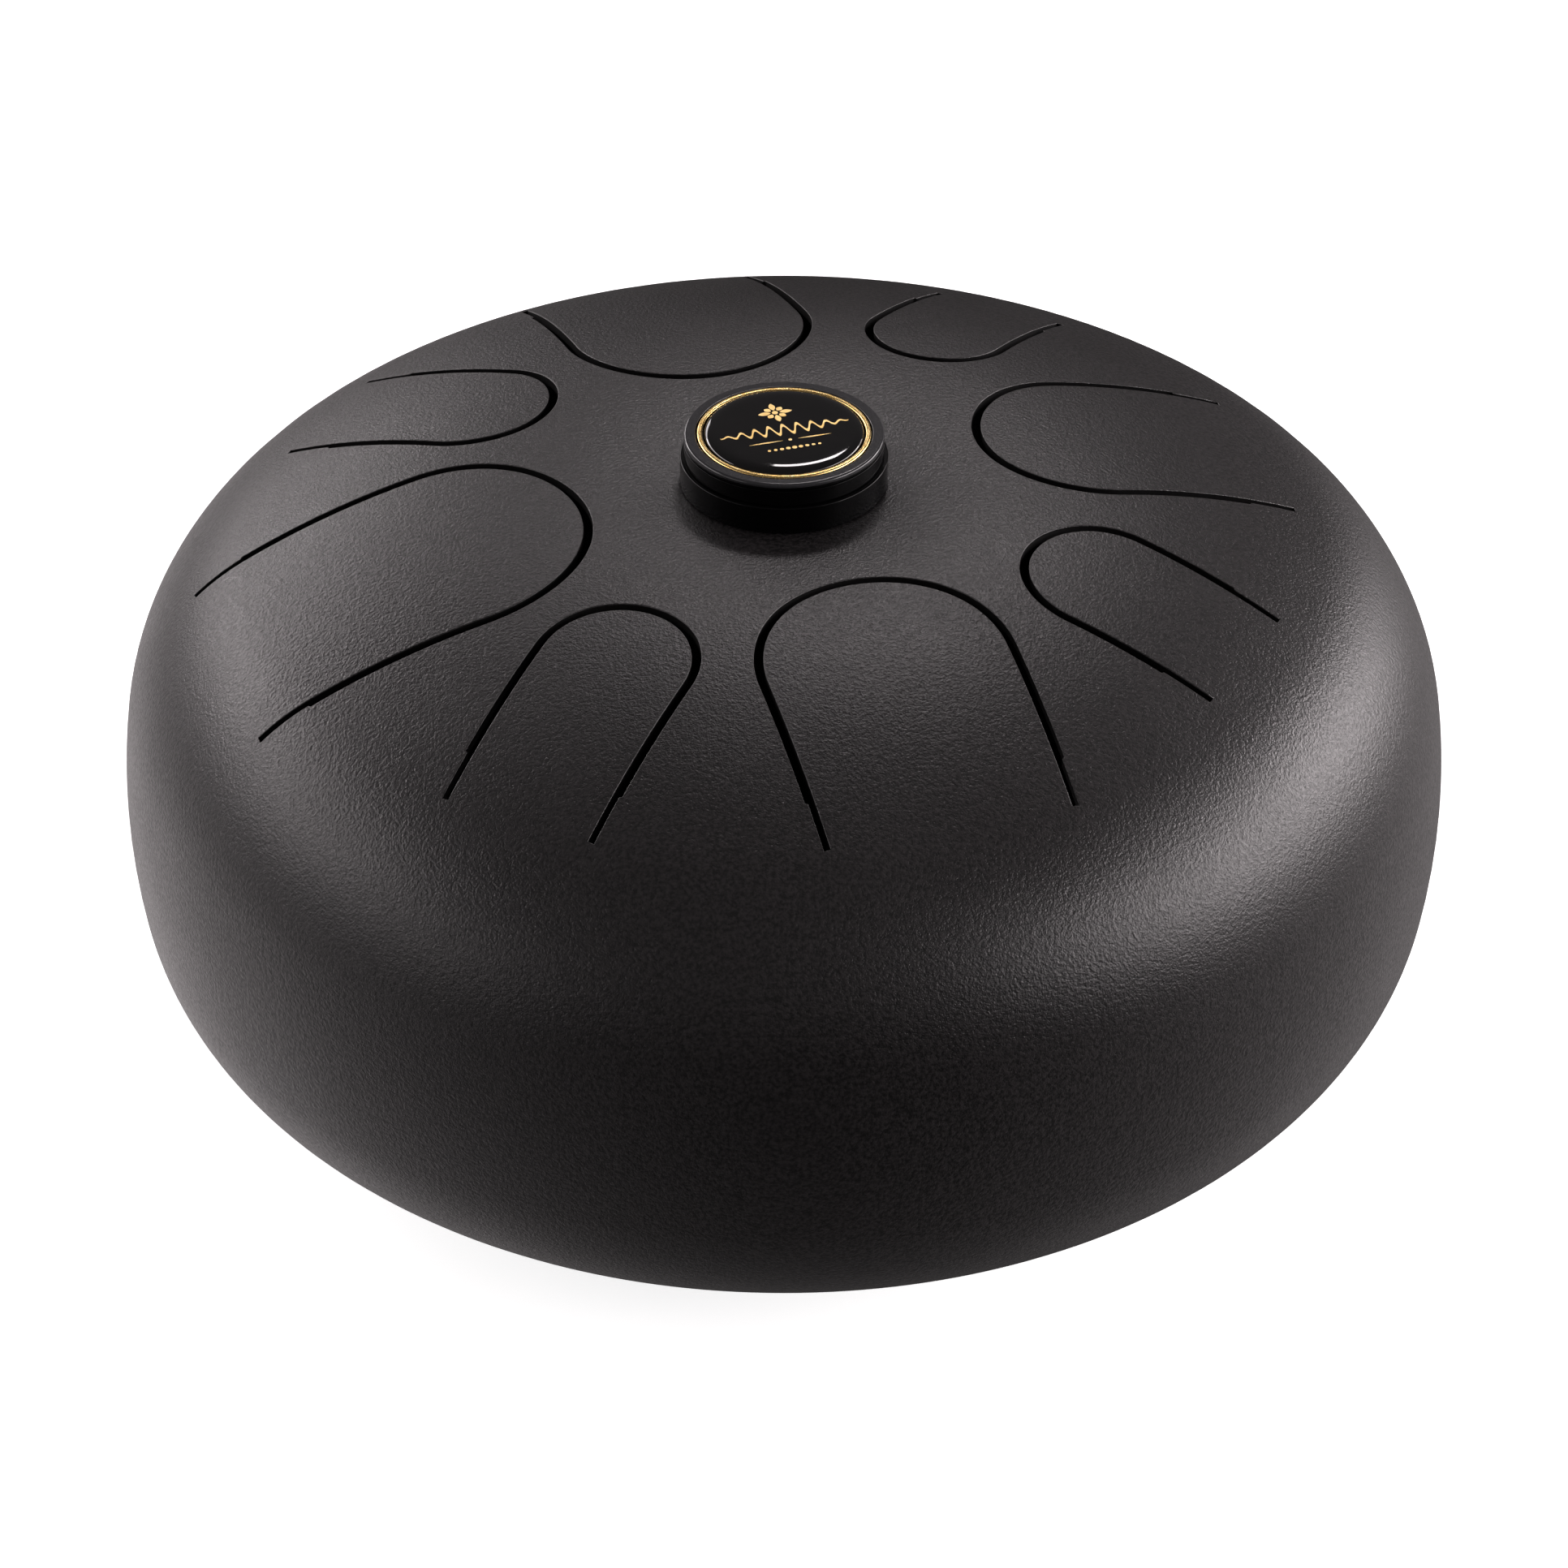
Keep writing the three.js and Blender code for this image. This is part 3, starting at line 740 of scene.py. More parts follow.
def make_cap(material, rim_material):
    floor, top = level("puck_cap")
    edge = width("puck_cap")
    recess_floor = level("puck_badge")[0] - ROOT_GAP
    recess = edge - CAP_RIM_WIDTH
    seat = level("puck_screw")[1] - SCREW_HEAD_HEIGHT - ROOT_GAP
    counterbore = HEAD_RADIUS + ROOT_GAP
    groove = top - CAP_GROOVE_DROP
    ledge = top - CAP_RIM_THICKNESS
    add_turned_part("puck_cap_cup", [
        (BORE_RADIUS, floor, FINE_ROUND),
        (edge, floor, CAP_FOOT_ROUND),
        (edge, groove - CAP_GROOVE_WIDTH, FINE_ROUND),
        (edge - CAP_GROOVE_DEPTH, groove - CAP_GROOVE_WIDTH * (1 - CAP_GROOVE_SLANT), 0),
        (edge - CAP_GROOVE_DEPTH, groove - CAP_GROOVE_WIDTH * CAP_GROOVE_SLANT, 0),
        (edge, groove, FINE_ROUND),
        (edge, ledge, FINE_ROUND),
        (recess, ledge, FINE_ROUND),
        (recess, recess_floor, FINE_ROUND),
        (counterbore, recess_floor, FINE_ROUND),
        (counterbore, seat, 0),
        (BORE_RADIUS, seat, 0),
    ], material, "puck_plastic", ["puck_cap"])
    add_turned_part("puck_cap_rim", [
        (recess, ledge + SEATED_GAP, 0),
        (edge, ledge + SEATED_GAP, 0),
        (edge, top, CAP_EDGE_ROUND),
        (recess, top, SMALL_ROUND),
    ], rim_material, "puck_plastic", [])


def make_ring(material):
    floor, top = level("puck_ring")
    outer = width("puck_ring")
    inner = outer - RING_WIDTH
    add_turned_part("puck_ring_band", [
        (inner, floor - ROOT_GAP + SEATED_GAP, FINE_ROUND),
        (outer, floor - ROOT_GAP + SEATED_GAP, FINE_ROUND),
        (outer, top, RING_ROUND),
        (inner, top, RING_ROUND),
    ], material, "gilt_ring", ["puck_ring"])


class Dome:
    """The badge's resin: almost flat in the middle and steep at the edge."""

    def __init__(self):
        self.floor, self.top = level("puck_badge")
        self.radius = width("puck_badge")
        self.crown = self.top - INLAY_RISE
        self.edge = self.floor + BADGE_EDGE

    def lift(self, radius):
        """Height and the two parts of the normal at a radius."""
        share = np.clip(radius / self.radius, 0, 0.99999)
        rise = self.crown - self.edge
        left = 1 - share**DOME_POWER
        slope = rise / self.radius * DOME_POWER * share ** (DOME_POWER - 1) / (2 * np.sqrt(left))
        length = np.sqrt(1 + slope**2)
        return self.edge + rise * np.sqrt(left), slope / length, 1 / length


def make_badge(dome, material):
    work = Patchwork()
    floor = dome.floor - ROOT_GAP + SEATED_GAP
    radius = dome.radius * np.sin(np.linspace(np.pi / 2, 0, DOME_ROWS))
    height, outward, upward = dome.lift(radius)
    height[0], outward[0], upward[0] = dome.edge, 1, 0
    add_turned(work, [
        [0, floor, 0, -1],
        [dome.radius, floor, 0, -1],
        [dome.radius, floor, 1, 0],
        *np.stack([radius, height, outward, upward], -1),
    ], PUCK_STEPS)
    finish_piece(work.build("puck_badge_dome", material), "badge_resin", "puck_badge")


# ---- ornament inlaid on the badge

INLAY_TURN = 16.5
INLAY_SPACING = 0.5 * MM
ROSETTE_LINE = 7.1 * MM
ROSETTE_RADIUS = 3.9 * MM
ROSETTE_HUB = 0.17  # this and the leaves are shares of the rosette's radius
LEAF_START = 0.27
LEAF_BREADTH = 0.36
SHORT_LEAF = 0.72
ROUNDNESS = 0.8  # power of a sine that swells a figure, rounder as it falls
WAVE_LINE = -0.4 * MM
WAVE_LENGTH = 29.5 * MM
WAVE_HEIGHT = 3.7 * MM
WAVE_PEN = 1.25 * MM
WAVES = 9
RULE_LINE = -4.9 * MM
RULE_ENDS = (1.8 * MM, 9.4 * MM)
RULE_PEN = 0.42 * MM
PEN_END = 0.3  # share of the pen's thickness that is left at the wave's ends
DOT_LINE = -8.3 * MM
DOT_STEP = 1.45 * MM
DOT_RADIUS = 0.56 * MM
DOT_FADE = 0.05 * MM


def turned_plan(plan, degrees):
    c, s = cos(degrees), sin(degrees)
    return plan @ np.array([[c, s], [-s, c]])


def make_inlay(name, loops, dome, material):
    """Flat figures laid on the dome, each a closed plate that rises a little above it."""
    work = Patchwork()
    for loop in loops:
        loop = turned_plan(np.asarray(loop), INLAY_TURN)
        plan, triangles = filled_plan(loop, [], INLAY_SPACING)
        for rise, facing in ((INLAY_RISE, 1), (-INLAY_RISE, -1)):
            points, normals = dome_points(dome, plan, rise)
            work.add(points, triangles, normals * facing)
        closed = np.vstack([loop, loop[:1]])
        way = np.gradient(closed, axis=0)
        area = np.sum(closed[:-1, 0] * closed[1:, 1] - closed[1:, 0] * closed[:-1, 1])
        out = np.stack([way[:, 1], -way[:, 0], np.zeros(len(way))], -1) * np.sign(area)
        out /= np.maximum(np.linalg.norm(out, axis=1, keepdims=True), 1e-12)
        upper, unused = dome_points(dome, closed, INLAY_RISE)
        lower, unused = dome_points(dome, closed, -INLAY_RISE)
        work.add_grid(np.array([upper, lower]), np.array([out, out]))
    finish_piece(work.build(name, material), "gilt_ring")


def dome_points(dome, plan, rise):
    radius = np.linalg.norm(plan, axis=1)
    height, outward, upward = dome.lift(radius)
    way = plan / np.maximum(radius, 1e-9)[:, None]
    points = np.hstack([plan, (height + rise)[:, None]])
    return points, np.hstack([way * outward[:, None], upward[:, None]])


def petal_loop(centre, length, breadth, degrees, hub):
    """A pointed leaf that starts at hub from the centre and runs out at an angle."""
    share = np.linspace(0, 1, 15)
    half = breadth / 2 * np.sin(np.pi * share) ** ROUNDNESS
    reach = hub + (length - hub) * share
    loop = np.vstack([np.stack([reach, half], -1), np.stack([reach, -half], -1)[-2:0:-1]])
    return turned_plan(loop, degrees) + centre


def disc_loop(centre, radius):
    return plan_circle(radius, 18, centre)


def rosette_loops(centre, radius):
    loops = [disc_loop(centre, radius * ROSETTE_HUB)]
    breadth, hub = radius * LEAF_BREADTH, radius * LEAF_START
    for index in range(8):
        length = radius if index % 2 == 0 else radius * SHORT_LEAF
        loops.append(petal_loop(centre, length, breadth, 90 + 45 * index, hub))
    return loops


def wave_loop(centre, length, height, waves, thickness):
    """A pen stroke, thick at its turns, that swings up and down and fades out to its ends."""
    share = np.linspace(-1, 1, waves * 22 + 1)
    x = share * length / 2
    fade = np.cos(share * np.pi / 2) ** ROUNDNESS
    y = height / 2 * fade * np.cos(share * np.pi * waves)
    line = np.stack([x, y], -1)
    half = thickness / 2 * (PEN_END + (1 - PEN_END) * fade[:, None]) * np.array([0, 1])
    return np.vstack([line + half, (line - half)[::-1]]) + centre


def rule_loop(start, end, thickness):
    """A rule that tapers to both ends."""
    start, end = np.array(start), np.array(end)
    share = np.linspace(0, 1, 13)[:, None]
    line = start * (1 - share) + end * share
    half = np.array([0, thickness / 2]) * np.sin(np.pi * np.clip(share, 0.04, 0.96))
    return np.vstack([line + half, (line - half)[::-1]])


def make_ornament(dome, material):
    rosette = rosette_loops((0, ROSETTE_LINE), ROSETTE_RADIUS)
    make_inlay("badge_rosette", rosette, dome, material)
    ribbon = wave_loop((0, WAVE_LINE), WAVE_LENGTH, WAVE_HEIGHT, WAVES, WAVE_PEN)
    make_inlay("badge_wave", [ribbon], dome, material)
    rules = []
    for side in (-1, 1):
        start, end = [(side * reach, RULE_LINE) for reach in RULE_ENDS]
        rules.append(rule_loop(start, end, RULE_PEN))
    make_inlay("badge_rules", [*rules, disc_loop((0, RULE_LINE), RULE_PEN)], dome, material)
    dots = []
    for index in range(-4, 5):
        dots.append(disc_loop((index * DOT_STEP, DOT_LINE), DOT_RADIUS - DOT_FADE * abs(index)))
    make_inlay("badge_dots", dots, dome, material)


# ---- feet and fasteners

FOOT_STEPS = 72
FOOT_TAPER = 0.85
FOOT_SEAT = 4 * MM
FOOT_LOW_ROUND = 1.5 * MM
FOOT_TOP_ROUND = 0.4 * MM
FOOT_BORE_ROUND = 0.3 * MM
FASTENER_STEPS = 48
TINY_ROUND = 0.1 * MM
NUT_FLAT = 3.5 * MM
NUT_BEVEL = 30
NUT_FACE = 0.96
NUT_CLEARANCE = 0.15 * MM
SCREW_HEAD_HEIGHT = 2.4 * MM
HEAD_ROUND = 1.5 * MM
PLAIN_SHANK = 1 * MM
TURN_ROWS = 6
RECESS_TAPER = 0.6
HEAD_SPACING = 1.2 * MM
RECESS_SPACING = 2 * MM
RECESS_REACH = 2.3 * MM
RECESS_HALF = 0.45 * MM
RECESS_DEPTH = 1.4 * MM


def make_foot(index, place, material):
    node = f"foot_{index}"
    top = outline.underside - SEATED_GAP
    upper = width(node)
    counterbore = HEAD_RADIUS + ROOT_GAP
    add_turned_part(f"{node}_bumper", [
        (counterbore, 0, FOOT_BORE_ROUND),
        (upper * FOOT_TAPER, 0, FOOT_LOW_ROUND),
        (upper, top, FOOT_TOP_ROUND),
        (BORE_RADIUS, top, TINY_ROUND),
        (BORE_RADIUS, FOOT_SEAT, TINY_ROUND),
        (counterbore, FOOT_SEAT, 0),
    ], material, "foot_rubber", [node], FOOT_STEPS, place, arc_steps=6)


def make_washer(node, place, material):
    floor, top = level(node)
    add_turned_part(f"{node}_plate", [
        (BORE_RADIUS, floor, TINY_ROUND),
        (width(node), floor, SMALL_ROUND),
        (width(node), top, SMALL_ROUND),
        (BORE_RADIUS, top, TINY_ROUND),
    ], material, "fastener_zinc", [node], FASTENER_STEPS, place, arc_steps=4)


def make_nut(node, place, material):
    """A hexagonal nut with its corners turned off at both ends."""
    floor, top = level(node)
    work = Patchwork()
    bore, round_edge = SHANK_RADIUS + NUT_CLEARANCE, NUT_FLAT * NUT_FACE

    def add_strip(first, second, normals):
        rows = np.array([placed(*first), placed(*second)]) + [*place, 0]
        work.add_grid(rows, np.array([normals, normals]))

    for middle in range(30, 390, 60):
        angle = middle + np.linspace(-30, 30, 13)
        way = np.stack([cos(angle), sin(angle)], -1)
        reach = NUT_FLAT / cos(angle - middle)
        drop = (reach - round_edge) * math.tan(math.radians(NUT_BEVEL))
        outer = way * reach[:, None]
        for end, sign in ((top, 1), (floor, -1)):
            face = np.broadcast_to([0.0, 0.0, float(sign)], (len(angle), 3))
            cone = placed(way * sin(NUT_BEVEL), sign * cos(NUT_BEVEL))
            add_strip((way * bore, end), (way * round_edge, end), face)
            add_strip((way * round_edge, end), (outer, end - sign * drop), cone)
        flat = np.broadcast_to([cos(middle), sin(middle), 0.0], (len(angle), 3))
        add_strip((outer, top - drop), (outer, floor + drop), flat)
        add_strip((way * bore, top), (way * bore, floor), placed(-way, 0))
    finish_piece(work.build(f"{node}_hex", material), "fastener_zinc", node)


def add_thread(work, start, end, steps, centre):
    """A screw thread from start to end, cut down to nothing at end."""
    rows = int(abs(end - start) / THREAD_PITCH * TURN_ROWS)
    along = np.linspace(0, 1, rows + 1)[:, None]
    angle = ring_angles(steps)[None, :]
    height = start + (end - start) * along
    phase = height / THREAD_PITCH - angle / (2 * np.pi)
    ridge = np.abs(2 * (phase - np.floor(phase)) - 1)
    fade = np.clip(along * rows / TURN_ROWS, 0, 1)
    taper = np.clip((1 - along) * rows / 5, 0, 1)
    radius = SHANK_RADIUS - THREAD_DEPTH * (1 - ridge * taper) * fade
    grid = np.stack([
        centre[0] + radius * np.cos(angle),
        centre[1] + radius * np.sin(angle),
        np.broadcast_to(height, radius.shape),
    ], -1)
    slope = np.gradient(radius, axis=0) / np.gradient(height, axis=0)
    level_part = np.ones_like(slope)
    normals = np.stack([np.cos(angle) * level_part, np.sin(angle) * level_part, -slope], -1)
    work.add_grid(grid, normals, closed=True)
    return radius[-1, 0]


def cross_loop():
    """The plan of a cross recess."""
    reach, half = RECESS_REACH, RECESS_HALF
    quarter = np.array([[reach, -half], [reach, half], [half * 1.5, half * 1.5]])
    return np.vstack([turned_plan(quarter, turn) for turn in (0, 90, 180, 270)])


def make_screw(node, place, up, material):
    """A pan-head screw. up is 1 where the shank runs up from the head and -1 where it runs down."""
    low, high = level(node)
    head, tip = (low, high) if up > 0 else (high, low)
    seat = head + up * SCREW_HEAD_HEIGHT
    work = Patchwork()
    swing = np.linspace(0, 90, 9)
    edge = np.stack([
        HEAD_RADIUS - HEAD_ROUND * (1 - sin(swing)),
        head + up * HEAD_ROUND * (1 - cos(swing)),
        sin(swing),
        -up * cos(swing),
    ], -1)
    start = seat + up * PLAIN_SHANK
    add_turned(work, [
        *edge,
        [HEAD_RADIUS, edge[-1, 1], 1, 0],
        [HEAD_RADIUS, seat, 1, 0],
        [HEAD_RADIUS, seat, 0, up],
        [SHANK_RADIUS, seat, 0, up],
        [SHANK_RADIUS, seat, 1, 0],
        [SHANK_RADIUS, start, 1, 0],
    ], FASTENER_STEPS, place)
    tip_radius = add_thread(work, start, tip, FASTENER_STEPS, place)
    add_turned(work, [[tip_radius, tip, 0, up], [0, tip, 0, up]], FASTENER_STEPS, place)
    cross = cross_loop()
    add_level_face(work, plan_circle(edge[0, 0], FASTENER_STEPS), [cross], HEAD_SPACING, head, -up, place)
    add_recess(work, cross, head, up, place)
    finish_piece(work.build(f"{node}_pan", material), "fastener_zinc", node)


def add_recess(work, cross, head, up, place):
    """Walls that lean in to a smaller floor."""
    small = cross * RECESS_TAPER
    count = len(cross)
    for index in range(count):
        pair = np.array([index, (index + 1) % count])
        upper = placed(cross[pair], head) + [*place, 0]
        lower = placed(small[pair], head + up * RECESS_DEPTH) + [*place, 0]
        way = upper[1] - upper[0]
        facing = np.cross(way, lower[0] - upper[0])
        inward = -np.array([*cross[pair].mean(0), 0])
        if facing @ inward < 0:
            facing = -facing
        facing = facing / np.linalg.norm(facing)
        corner = np.array([facing, facing])
        work.add_grid(np.array([upper, lower]), np.array([corner, corner]))
    add_level_face(work, small, [], RECESS_SPACING, head + up * RECESS_DEPTH, -up, place)


# ---- materials


def mapped(tree, value, start, end, low, high):
    """value from start to end, spread over low to high."""
    node = tree.nodes.new("ShaderNodeMapRange")
    for name, number in (("From Min", start), ("From Max", end), ("To Min", low), ("To Max", high)):
        node.inputs[name].default_value = number
    tree.links.new(value, node.inputs["Value"])
    return node.outputs["Result"]


def combined(tree, first, second, operation):
    node = tree.nodes.new("ShaderNodeMath")
    node.operation = operation
    for index, value in enumerate((first, second)):
        if isinstance(value, (int, float)):
            node.inputs[index].default_value = value
        else:
            tree.links.new(value, node.inputs[index])
    return node.outputs["Value"]


class Finish:
    """A Principled material with helpers that wire procedural detail into it."""

    def __init__(self, name, colour, roughness, metallic=0.0, specular=0.5):
        self.material = bpy.data.materials.new(name)
        self.material.use_nodes = True
        self.tree = self.material.node_tree
        self.nodes = self.tree.nodes
        self.links = self.tree.links
        self.shader = self.nodes["Principled BSDF"]
        self.shader.inputs["Base Color"].default_value = (*colour, 1)
        self.shader.inputs["Roughness"].default_value = roughness
        self.shader.inputs["Metallic"].default_value = metallic
        self.shader.inputs["Specular IOR Level"].default_value = specular
        self.place = self.nodes.new("ShaderNodeTexCoord").outputs["Object"]

    def stretched(self, scale):
        mapping = self.nodes.new("ShaderNodeMapping")
        mapping.inputs["Scale"].default_value = scale
        self.links.new(self.place, mapping.inputs["Vector"])
        return mapping.outputs["Vector"]

    def noise(self, grain, detail=3.0, coarse=0.55, vector=None):
        """Noise whose lumps are about grain across, in metres."""
        node = self.nodes.new("ShaderNodeTexNoise")
        node.inputs["Scale"].default_value = 1 / grain
        node.inputs["Detail"].default_value = detail
        node.inputs["Roughness"].default_value = coarse
        self.links.new(vector or self.place, node.inputs["Vector"])
        return node.outputs["Fac"]

    def spread(self, value, low, high, start=0.3, end=0.7):
        return mapped(self.tree, value, start, end, low, high)

    def sum(self, first, second, operation="ADD"):
        return combined(self.tree, first, second, operation)

    def colours(self, value, dark, light, start=0.3, end=0.7):
        ramp = self.nodes.new("ShaderNodeValToRGB")
        for stop, place, colour in zip(ramp.color_ramp.elements, (start, end), (dark, light)):
            stop.position = place
            stop.color = (*colour, 1)
        self.links.new(value, ramp.inputs["Fac"])
        self.links.new(ramp.outputs["Color"], self.shader.inputs["Base Color"])

    def roughness(self, value):
        self.links.new(value, self.shader.inputs["Roughness"])

    def bump(self, height, strength, distance):
        node = self.nodes.new("ShaderNodeBump")
        node.inputs["Strength"].default_value = strength
        node.inputs["Distance"].default_value = distance
        self.links.new(height, node.inputs["Height"])
        self.links.new(node.outputs["Normal"], self.shader.inputs["Normal"])


def powder_coat():
    """Satin black powder coat with a fine leathery grain."""
    coat = Finish("powder_coat", (0.016, 0.0146, 0.015), 0.44)
    grain = coat.noise(0.85 * MM, 3.0, 0.6)
    pits = coat.noise(0.4 * MM, 1.0, 0.5)
    cloud = coat.noise(40 * MM, 3.0)
    coat.colours(grain, (0.001, 0.0009, 0.0009), (0.0245, 0.0222, 0.0229), 0.37, 0.63)
    rough = coat.sum(coat.spread(grain, 0.42, 0.29), coat.spread(cloud, -0.03, 0.03))
    coat.roughness(rough)
    height = coat.sum(grain, coat.sum(pits, 0.35, "MULTIPLY"))
    coat.bump(height, 1.0, 0.2 * MM)
    return coat.material


def plain_finish(name, colour, roughness, shades, rough, bump, tone, fine=None, **shader):
    """A finish whose colour follows one noise, and its roughness and bump a finer one, or the same."""
    made = Finish(name, colour, roughness, **shader)
    tone = made.noise(*tone)
    fine = made.noise(*fine) if fine else tone
    made.colours(tone, *shades)
    if rough:
        made.roughness(made.spread(fine, *rough))
    made.bump(fine, *bump)
    return made.material


def painted_shadow_wall():
    """The slots' walls, in a matt deep black that is painted shadow for the shade deep inside the narrow
    slots.
    """
    return plain_finish(
        "slot_wall_coat", (0.003, 0.0028, 0.0029), 0.7,
        shades=((0.0022, 0.002, 0.0021), (0.0045, 0.0042, 0.0043)),
        rough=None, bump=(0.4, 0.1 * MM), tone=(0.6 * MM, 3.0), specular=0.12,
    )


def gloss_plastic():
    """Black moulded plastic, with a faint turned grain and handling haze."""
    gloss = Finish("gloss_plastic", (0.0013, 0.0013, 0.0015), 0.14, specular=0.13)
    haze = gloss.noise(9 * MM, 4.0, 0.65)
    lines = gloss.noise(0.35 * MM, 2.0, 0.5, gloss.stretched((0.12, 0.12, 1.0)))
    gloss.roughness(gloss.sum(gloss.spread(haze, 0.1, 0.2), gloss.spread(lines, 0.0, 0.05)))
    gloss.colours(haze, (0.0009, 0.0009, 0.001), (0.0017, 0.0017, 0.0019))
    gloss.bump(lines, 0.06, 0.05 * MM)
    return gloss.material


def satin_plastic():
    """The cap's rim, a little greyer than its side."""
    return plain_finish(
        "satin_plastic", (0.024, 0.024, 0.026), 0.14,
        shades=((0.023, 0.023, 0.025), (0.03, 0.03, 0.032)),
        rough=(0.11, 0.17), bump=(0.05, 0.03 * MM), tone=(0.4 * MM, 2.0, 0.5),
    )


def badge_resin():
    """Clear resin over a black print."""
    return plain_finish(
        "badge_resin_gloss", (0.0017, 0.0016, 0.0017), 0.05,
        shades=((0.0012, 0.0012, 0.0013), (0.0022, 0.002, 0.0021)),
        rough=(0.03, 0.075), bump=(0.03, 0.1 * MM), tone=(6 * MM, 4.0, 0.6),
    )


def gilt(name, roughness):
    return plain_finish(
        name, (0.83, 0.58, 0.22), roughness,
        shades=((0.74, 0.47, 0.14), (0.92, 0.7, 0.33)),
        rough=(roughness - 0.05, roughness + 0.08), bump=(0.08, 0.03 * MM),
        tone=(2.2 * MM, 3.0, 0.6), fine=(0.25 * MM, 2.0), metallic=1.0,
    )


def soft_rubber(name):
    return plain_finish(
        name, (0.018, 0.018, 0.018), 0.78,
        shades=((0.013, 0.013, 0.013), (0.03, 0.029, 0.028)),
        rough=(0.72, 0.88), bump=(0.3, 0.1 * MM),
        tone=(7 * MM, 4.0, 0.65), fine=(0.6 * MM, 3.0, 0.6),
    )


def zinc_plate():
    return plain_finish(
        "zinc_plate", (0.62, 0.62, 0.6), 0.34,
        shades=((0.5, 0.5, 0.48), (0.7, 0.7, 0.69)),
        rough=(0.26, 0.46), bump=(0.15, 0.05 * MM), tone=(1.6 * MM, 4.0, 0.6), metallic=1.0,
    )


coat = powder_coat()
# painted shadow for the slot walls: deep black in place of the shade inside the slots, not the coat's own
# colour
cut = painted_shadow_wall()
gloss = gloss_plastic()
satin = satin_plastic()
resin = badge_resin()
gilt_band = gilt("gilt_band", 0.22)
gilt_print = gilt("gilt_print", 0.34)
foot_rubber = soft_rubber("bumper_rubber")
pad_rubber = soft_rubber("pad_rubber_sheet")
zinc = zinc_plate()


# ---- studio

LENS = 149.1
SENSOR = 36
CAMERA_REACH = 20
CAMERA_DISTANCE = 1.493
CAMERA_ELEVATION = 34.22
CAMERA_AIM = 0.0631
LAMP_DISTANCE = 1.6
LAMP_AIM = 0.09
FILL_FRONT = 0.14
FILL_BACK = 0.8
FILL_LEFT = 1.4
FILL_RIGHT = 0.75
FILL_ABOVE = 0.15
FILL_BELOW = 0.13
WARM_WHITE = (1, 0.93, 0.94)
FLOOR_GLOW = 0.82
FLOOR_REACH = 8
FLOOR_LIT = 0.5
FLOOR_FAR = 1.3
FLOOR_DROP = 0.1 * MM

# (start, end, value at start, value at end) over the X, Y or Z of the way looked along
LEFT_SIDE = (-0.4, -0.04, FILL_LEFT, 0.02)
RIGHT_SIDE = (0.12, 0.5, 0.01, FILL_RIGHT)
FRONT_TO_BACK = (-0.5, 0.5, FILL_FRONT, FILL_BACK)
TABLE_SHADES = ((-0.4, 0.0, 1, 0.3), (-0.95, -0.7, 0.3, 1), (-0.02, 0.02, 1, 0))
UNDERNEATH = (-0.85, -0.7, FILL_BELOW, 0)
OVERHEAD = (-0.02, 0.02, 0, FILL_ABOVE)

# Colour sockets of a Mix node, which share their names with its other sockets
MIX_FIRST, MIX_SECOND, MIX_RESULT = 6, 7, 2

# name, azimuth, elevation, (width, height), power
LAMPS = (
    ("right_softbox", 92, 18.5, (2.0, 0.33), 27),
    ("right_low_strip", 82, 7, (1.6, 0.2), 2.6),
    ("right_rear_softbox", 120, 10, (1.0, 0.4), 5.5),
    ("right_front_strip", 58, 22, (1.1, 0.3), 3.2),
    ("left_softbox", 252, 23, (1.9, 0.36), 13.8),
    ("left_front_strip", 300, 11, (1.0, 0.3), 2.1),
    ("back_left_strip", 215, 20, (1.0, 0.3), 5.4),
    ("back_top_lamp", 173, 45, (0.34, 0.18), 3.8),
)


def make_camera():
    data = bpy.data.cameras.new("camera")
    data.lens = LENS
    data.sensor_width = SENSOR
    data.clip_end = CAMERA_REACH
    camera = add_object("camera", data)
    elevation = math.radians(CAMERA_ELEVATION)
    height = CAMERA_AIM + CAMERA_DISTANCE * math.sin(elevation)
    camera.location = (0, -CAMERA_DISTANCE * math.cos(elevation), height)
    camera.rotation_euler = (math.pi / 2 - elevation, 0, 0)
    bpy.context.scene.camera = camera


def make_stage():
    """A pale floor that goes on into a pale backdrop. It is seen from above, doesn't light the drum
    and is clear from below, so that the underside can be looked at."""
    mesh = bpy.data.meshes.new("floor")
    signs = ((-1, -1), (1, -1), (1, 1), (-1, 1))
    corners = [(x * FLOOR_REACH, y * FLOOR_REACH, -FLOOR_DROP) for x, y in signs]
    mesh.from_pydata(corners, [], [(0, 1, 2, 3)])
    floor = add_object("floor", mesh)
    paper = Finish("pale_floor", (0.8, 0.8, 0.8), 0.9, specular=0)
    paper.shader.inputs["Emission Color"].default_value = (1, 1, 1, 1)
    away = paper.nodes.new("ShaderNodeVectorMath")
    away.operation = "LENGTH"
    paper.links.new(paper.place, away.inputs[0])
    glow = paper.spread(away.outputs["Value"], FLOOR_GLOW, 1, FLOOR_LIT, FLOOR_FAR)
    paper.links.new(glow, paper.shader.inputs["Emission Strength"])
    clear = paper.nodes.new("ShaderNodeBsdfTransparent")
    sides = paper.nodes.new("ShaderNodeNewGeometry")
    either = paper.nodes.new("ShaderNodeMixShader")
    paper.links.new(sides.outputs["Backfacing"], either.inputs["Fac"])
    paper.links.new(paper.shader.outputs["BSDF"], either.inputs[1])
    paper.links.new(clear.outputs["BSDF"], either.inputs[2])
    paper.links.new(either.outputs["Shader"], paper.nodes["Material Output"].inputs["Surface"])
    mesh.materials.append(paper.material)
    floor.visible_diffuse = False
    floor.visible_glossy = False


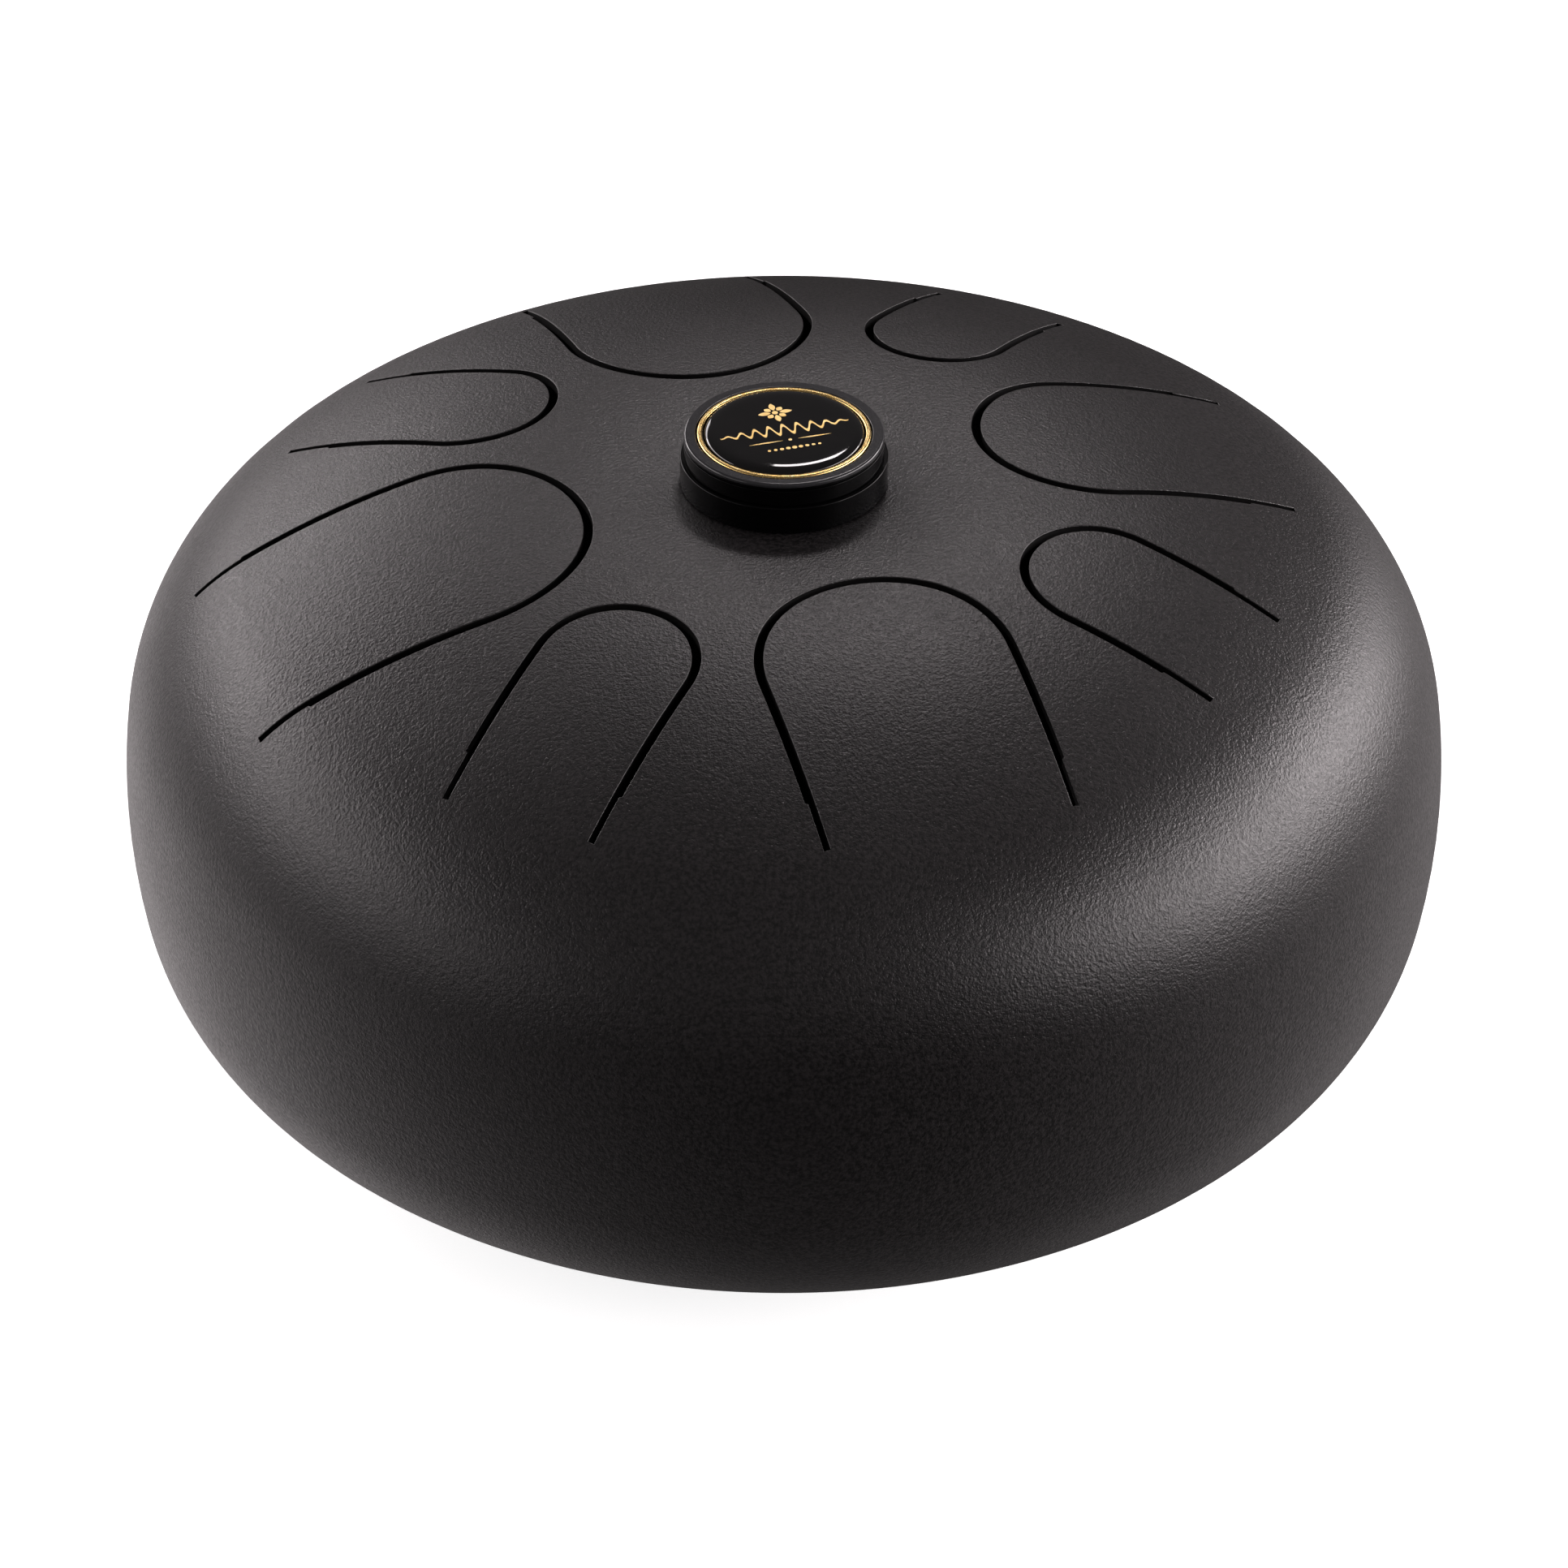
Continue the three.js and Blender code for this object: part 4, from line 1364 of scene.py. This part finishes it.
def add_softbox(name, azimuth, elevation, size, power):
    """A flat lamp that looks at the drum. Azimuth 0 is in front and 90 on the right."""
    data = bpy.data.lights.new(name, "AREA")
    data.shape = "RECTANGLE"
    data.size, data.size_y = size
    data.energy = power
    data.color = WARM_WHITE
    lamp = add_object(name, data)
    way = Vector((
        cos(elevation) * sin(azimuth),
        -cos(elevation) * cos(azimuth),
        sin(elevation),
    ))
    lamp.location = way * LAMP_DISTANCE + Vector((0, 0, LAMP_AIM))
    lamp.rotation_euler = (-way).to_track_quat("-Z", "Y").to_euler()


def make_world():
    """White where the camera sees it. Everything else sees a dim room over a pale table that is
    lit at both sides of the drum and flagged black in front of it and behind it."""
    world = bpy.data.worlds.new("studio")
    bpy.context.scene.world = world
    world.use_nodes = True
    tree = world.node_tree
    nodes, links = tree.nodes, tree.links
    backdrop = nodes["Background"]
    path = nodes.new("ShaderNodeLightPath")
    way = nodes.new("ShaderNodeTexCoord")
    split = nodes.new("ShaderNodeSeparateXYZ")
    links.new(way.outputs["Generated"], split.inputs["Vector"])

    x, y, z = split.outputs
    sides = combined(tree, mapped(tree, x, *LEFT_SIDE), mapped(tree, x, *RIGHT_SIDE), "ADD")
    fill = combined(tree, sides, mapped(tree, y, *FRONT_TO_BACK), "MULTIPLY")
    for shade in TABLE_SHADES:
        fill = combined(tree, fill, mapped(tree, z, *shade), "MULTIPLY")
    for glow in (UNDERNEATH, OVERHEAD):
        fill = combined(tree, fill, mapped(tree, z, *glow), "ADD")
    choice = nodes.new("ShaderNodeMix")
    choice.data_type = "RGBA"
    tinted = nodes.new("ShaderNodeVectorMath")
    tinted.operation = "SCALE"
    tinted.inputs["Vector"].default_value = WARM_WHITE
    links.new(fill, tinted.inputs["Scale"])
    links.new(path.outputs["Is Camera Ray"], choice.inputs["Factor"])
    links.new(tinted.outputs["Vector"], choice.inputs[MIX_FIRST])
    choice.inputs[MIX_SECOND].default_value = (1, 1, 1, 1)
    links.new(choice.outputs[MIX_RESULT], backdrop.inputs["Color"])


bpy.context.scene.view_settings.view_transform = "Standard"

tongues = [
    Tongue(joint["child"].replace("_steel", ""), joint) for joint in frame["joints"]
]
make_top_shell(tongues, coat, cut)
for tongue in tongues:
    make_tongue(tongue, coat, cut)
make_weld(coat)
make_bottom_shell(coat)
make_pad(pad_rubber)
make_base(gloss)
make_cap(gloss, satin)
make_ring(gilt_band)
dome = Dome()
make_badge(dome, resin)
make_ornament(dome, gilt_print)
make_screw("puck_screw", (0, 0), -1, zinc)
make_washer("puck_washer", (0, 0), zinc)
make_nut("puck_nut", (0, 0), zinc)
for index, place in enumerate(foot_places(), start=1):
    make_foot(index, place, foot_rubber)
    make_screw(f"foot_screw_{index}", place, 1, zinc)
    make_washer(f"foot_washer_{index}", place, zinc)
    make_nut(f"foot_nut_{index}", place, zinc)
make_camera()
make_stage()
make_world()
for lamp in LAMPS:
    add_softbox(*lamp)
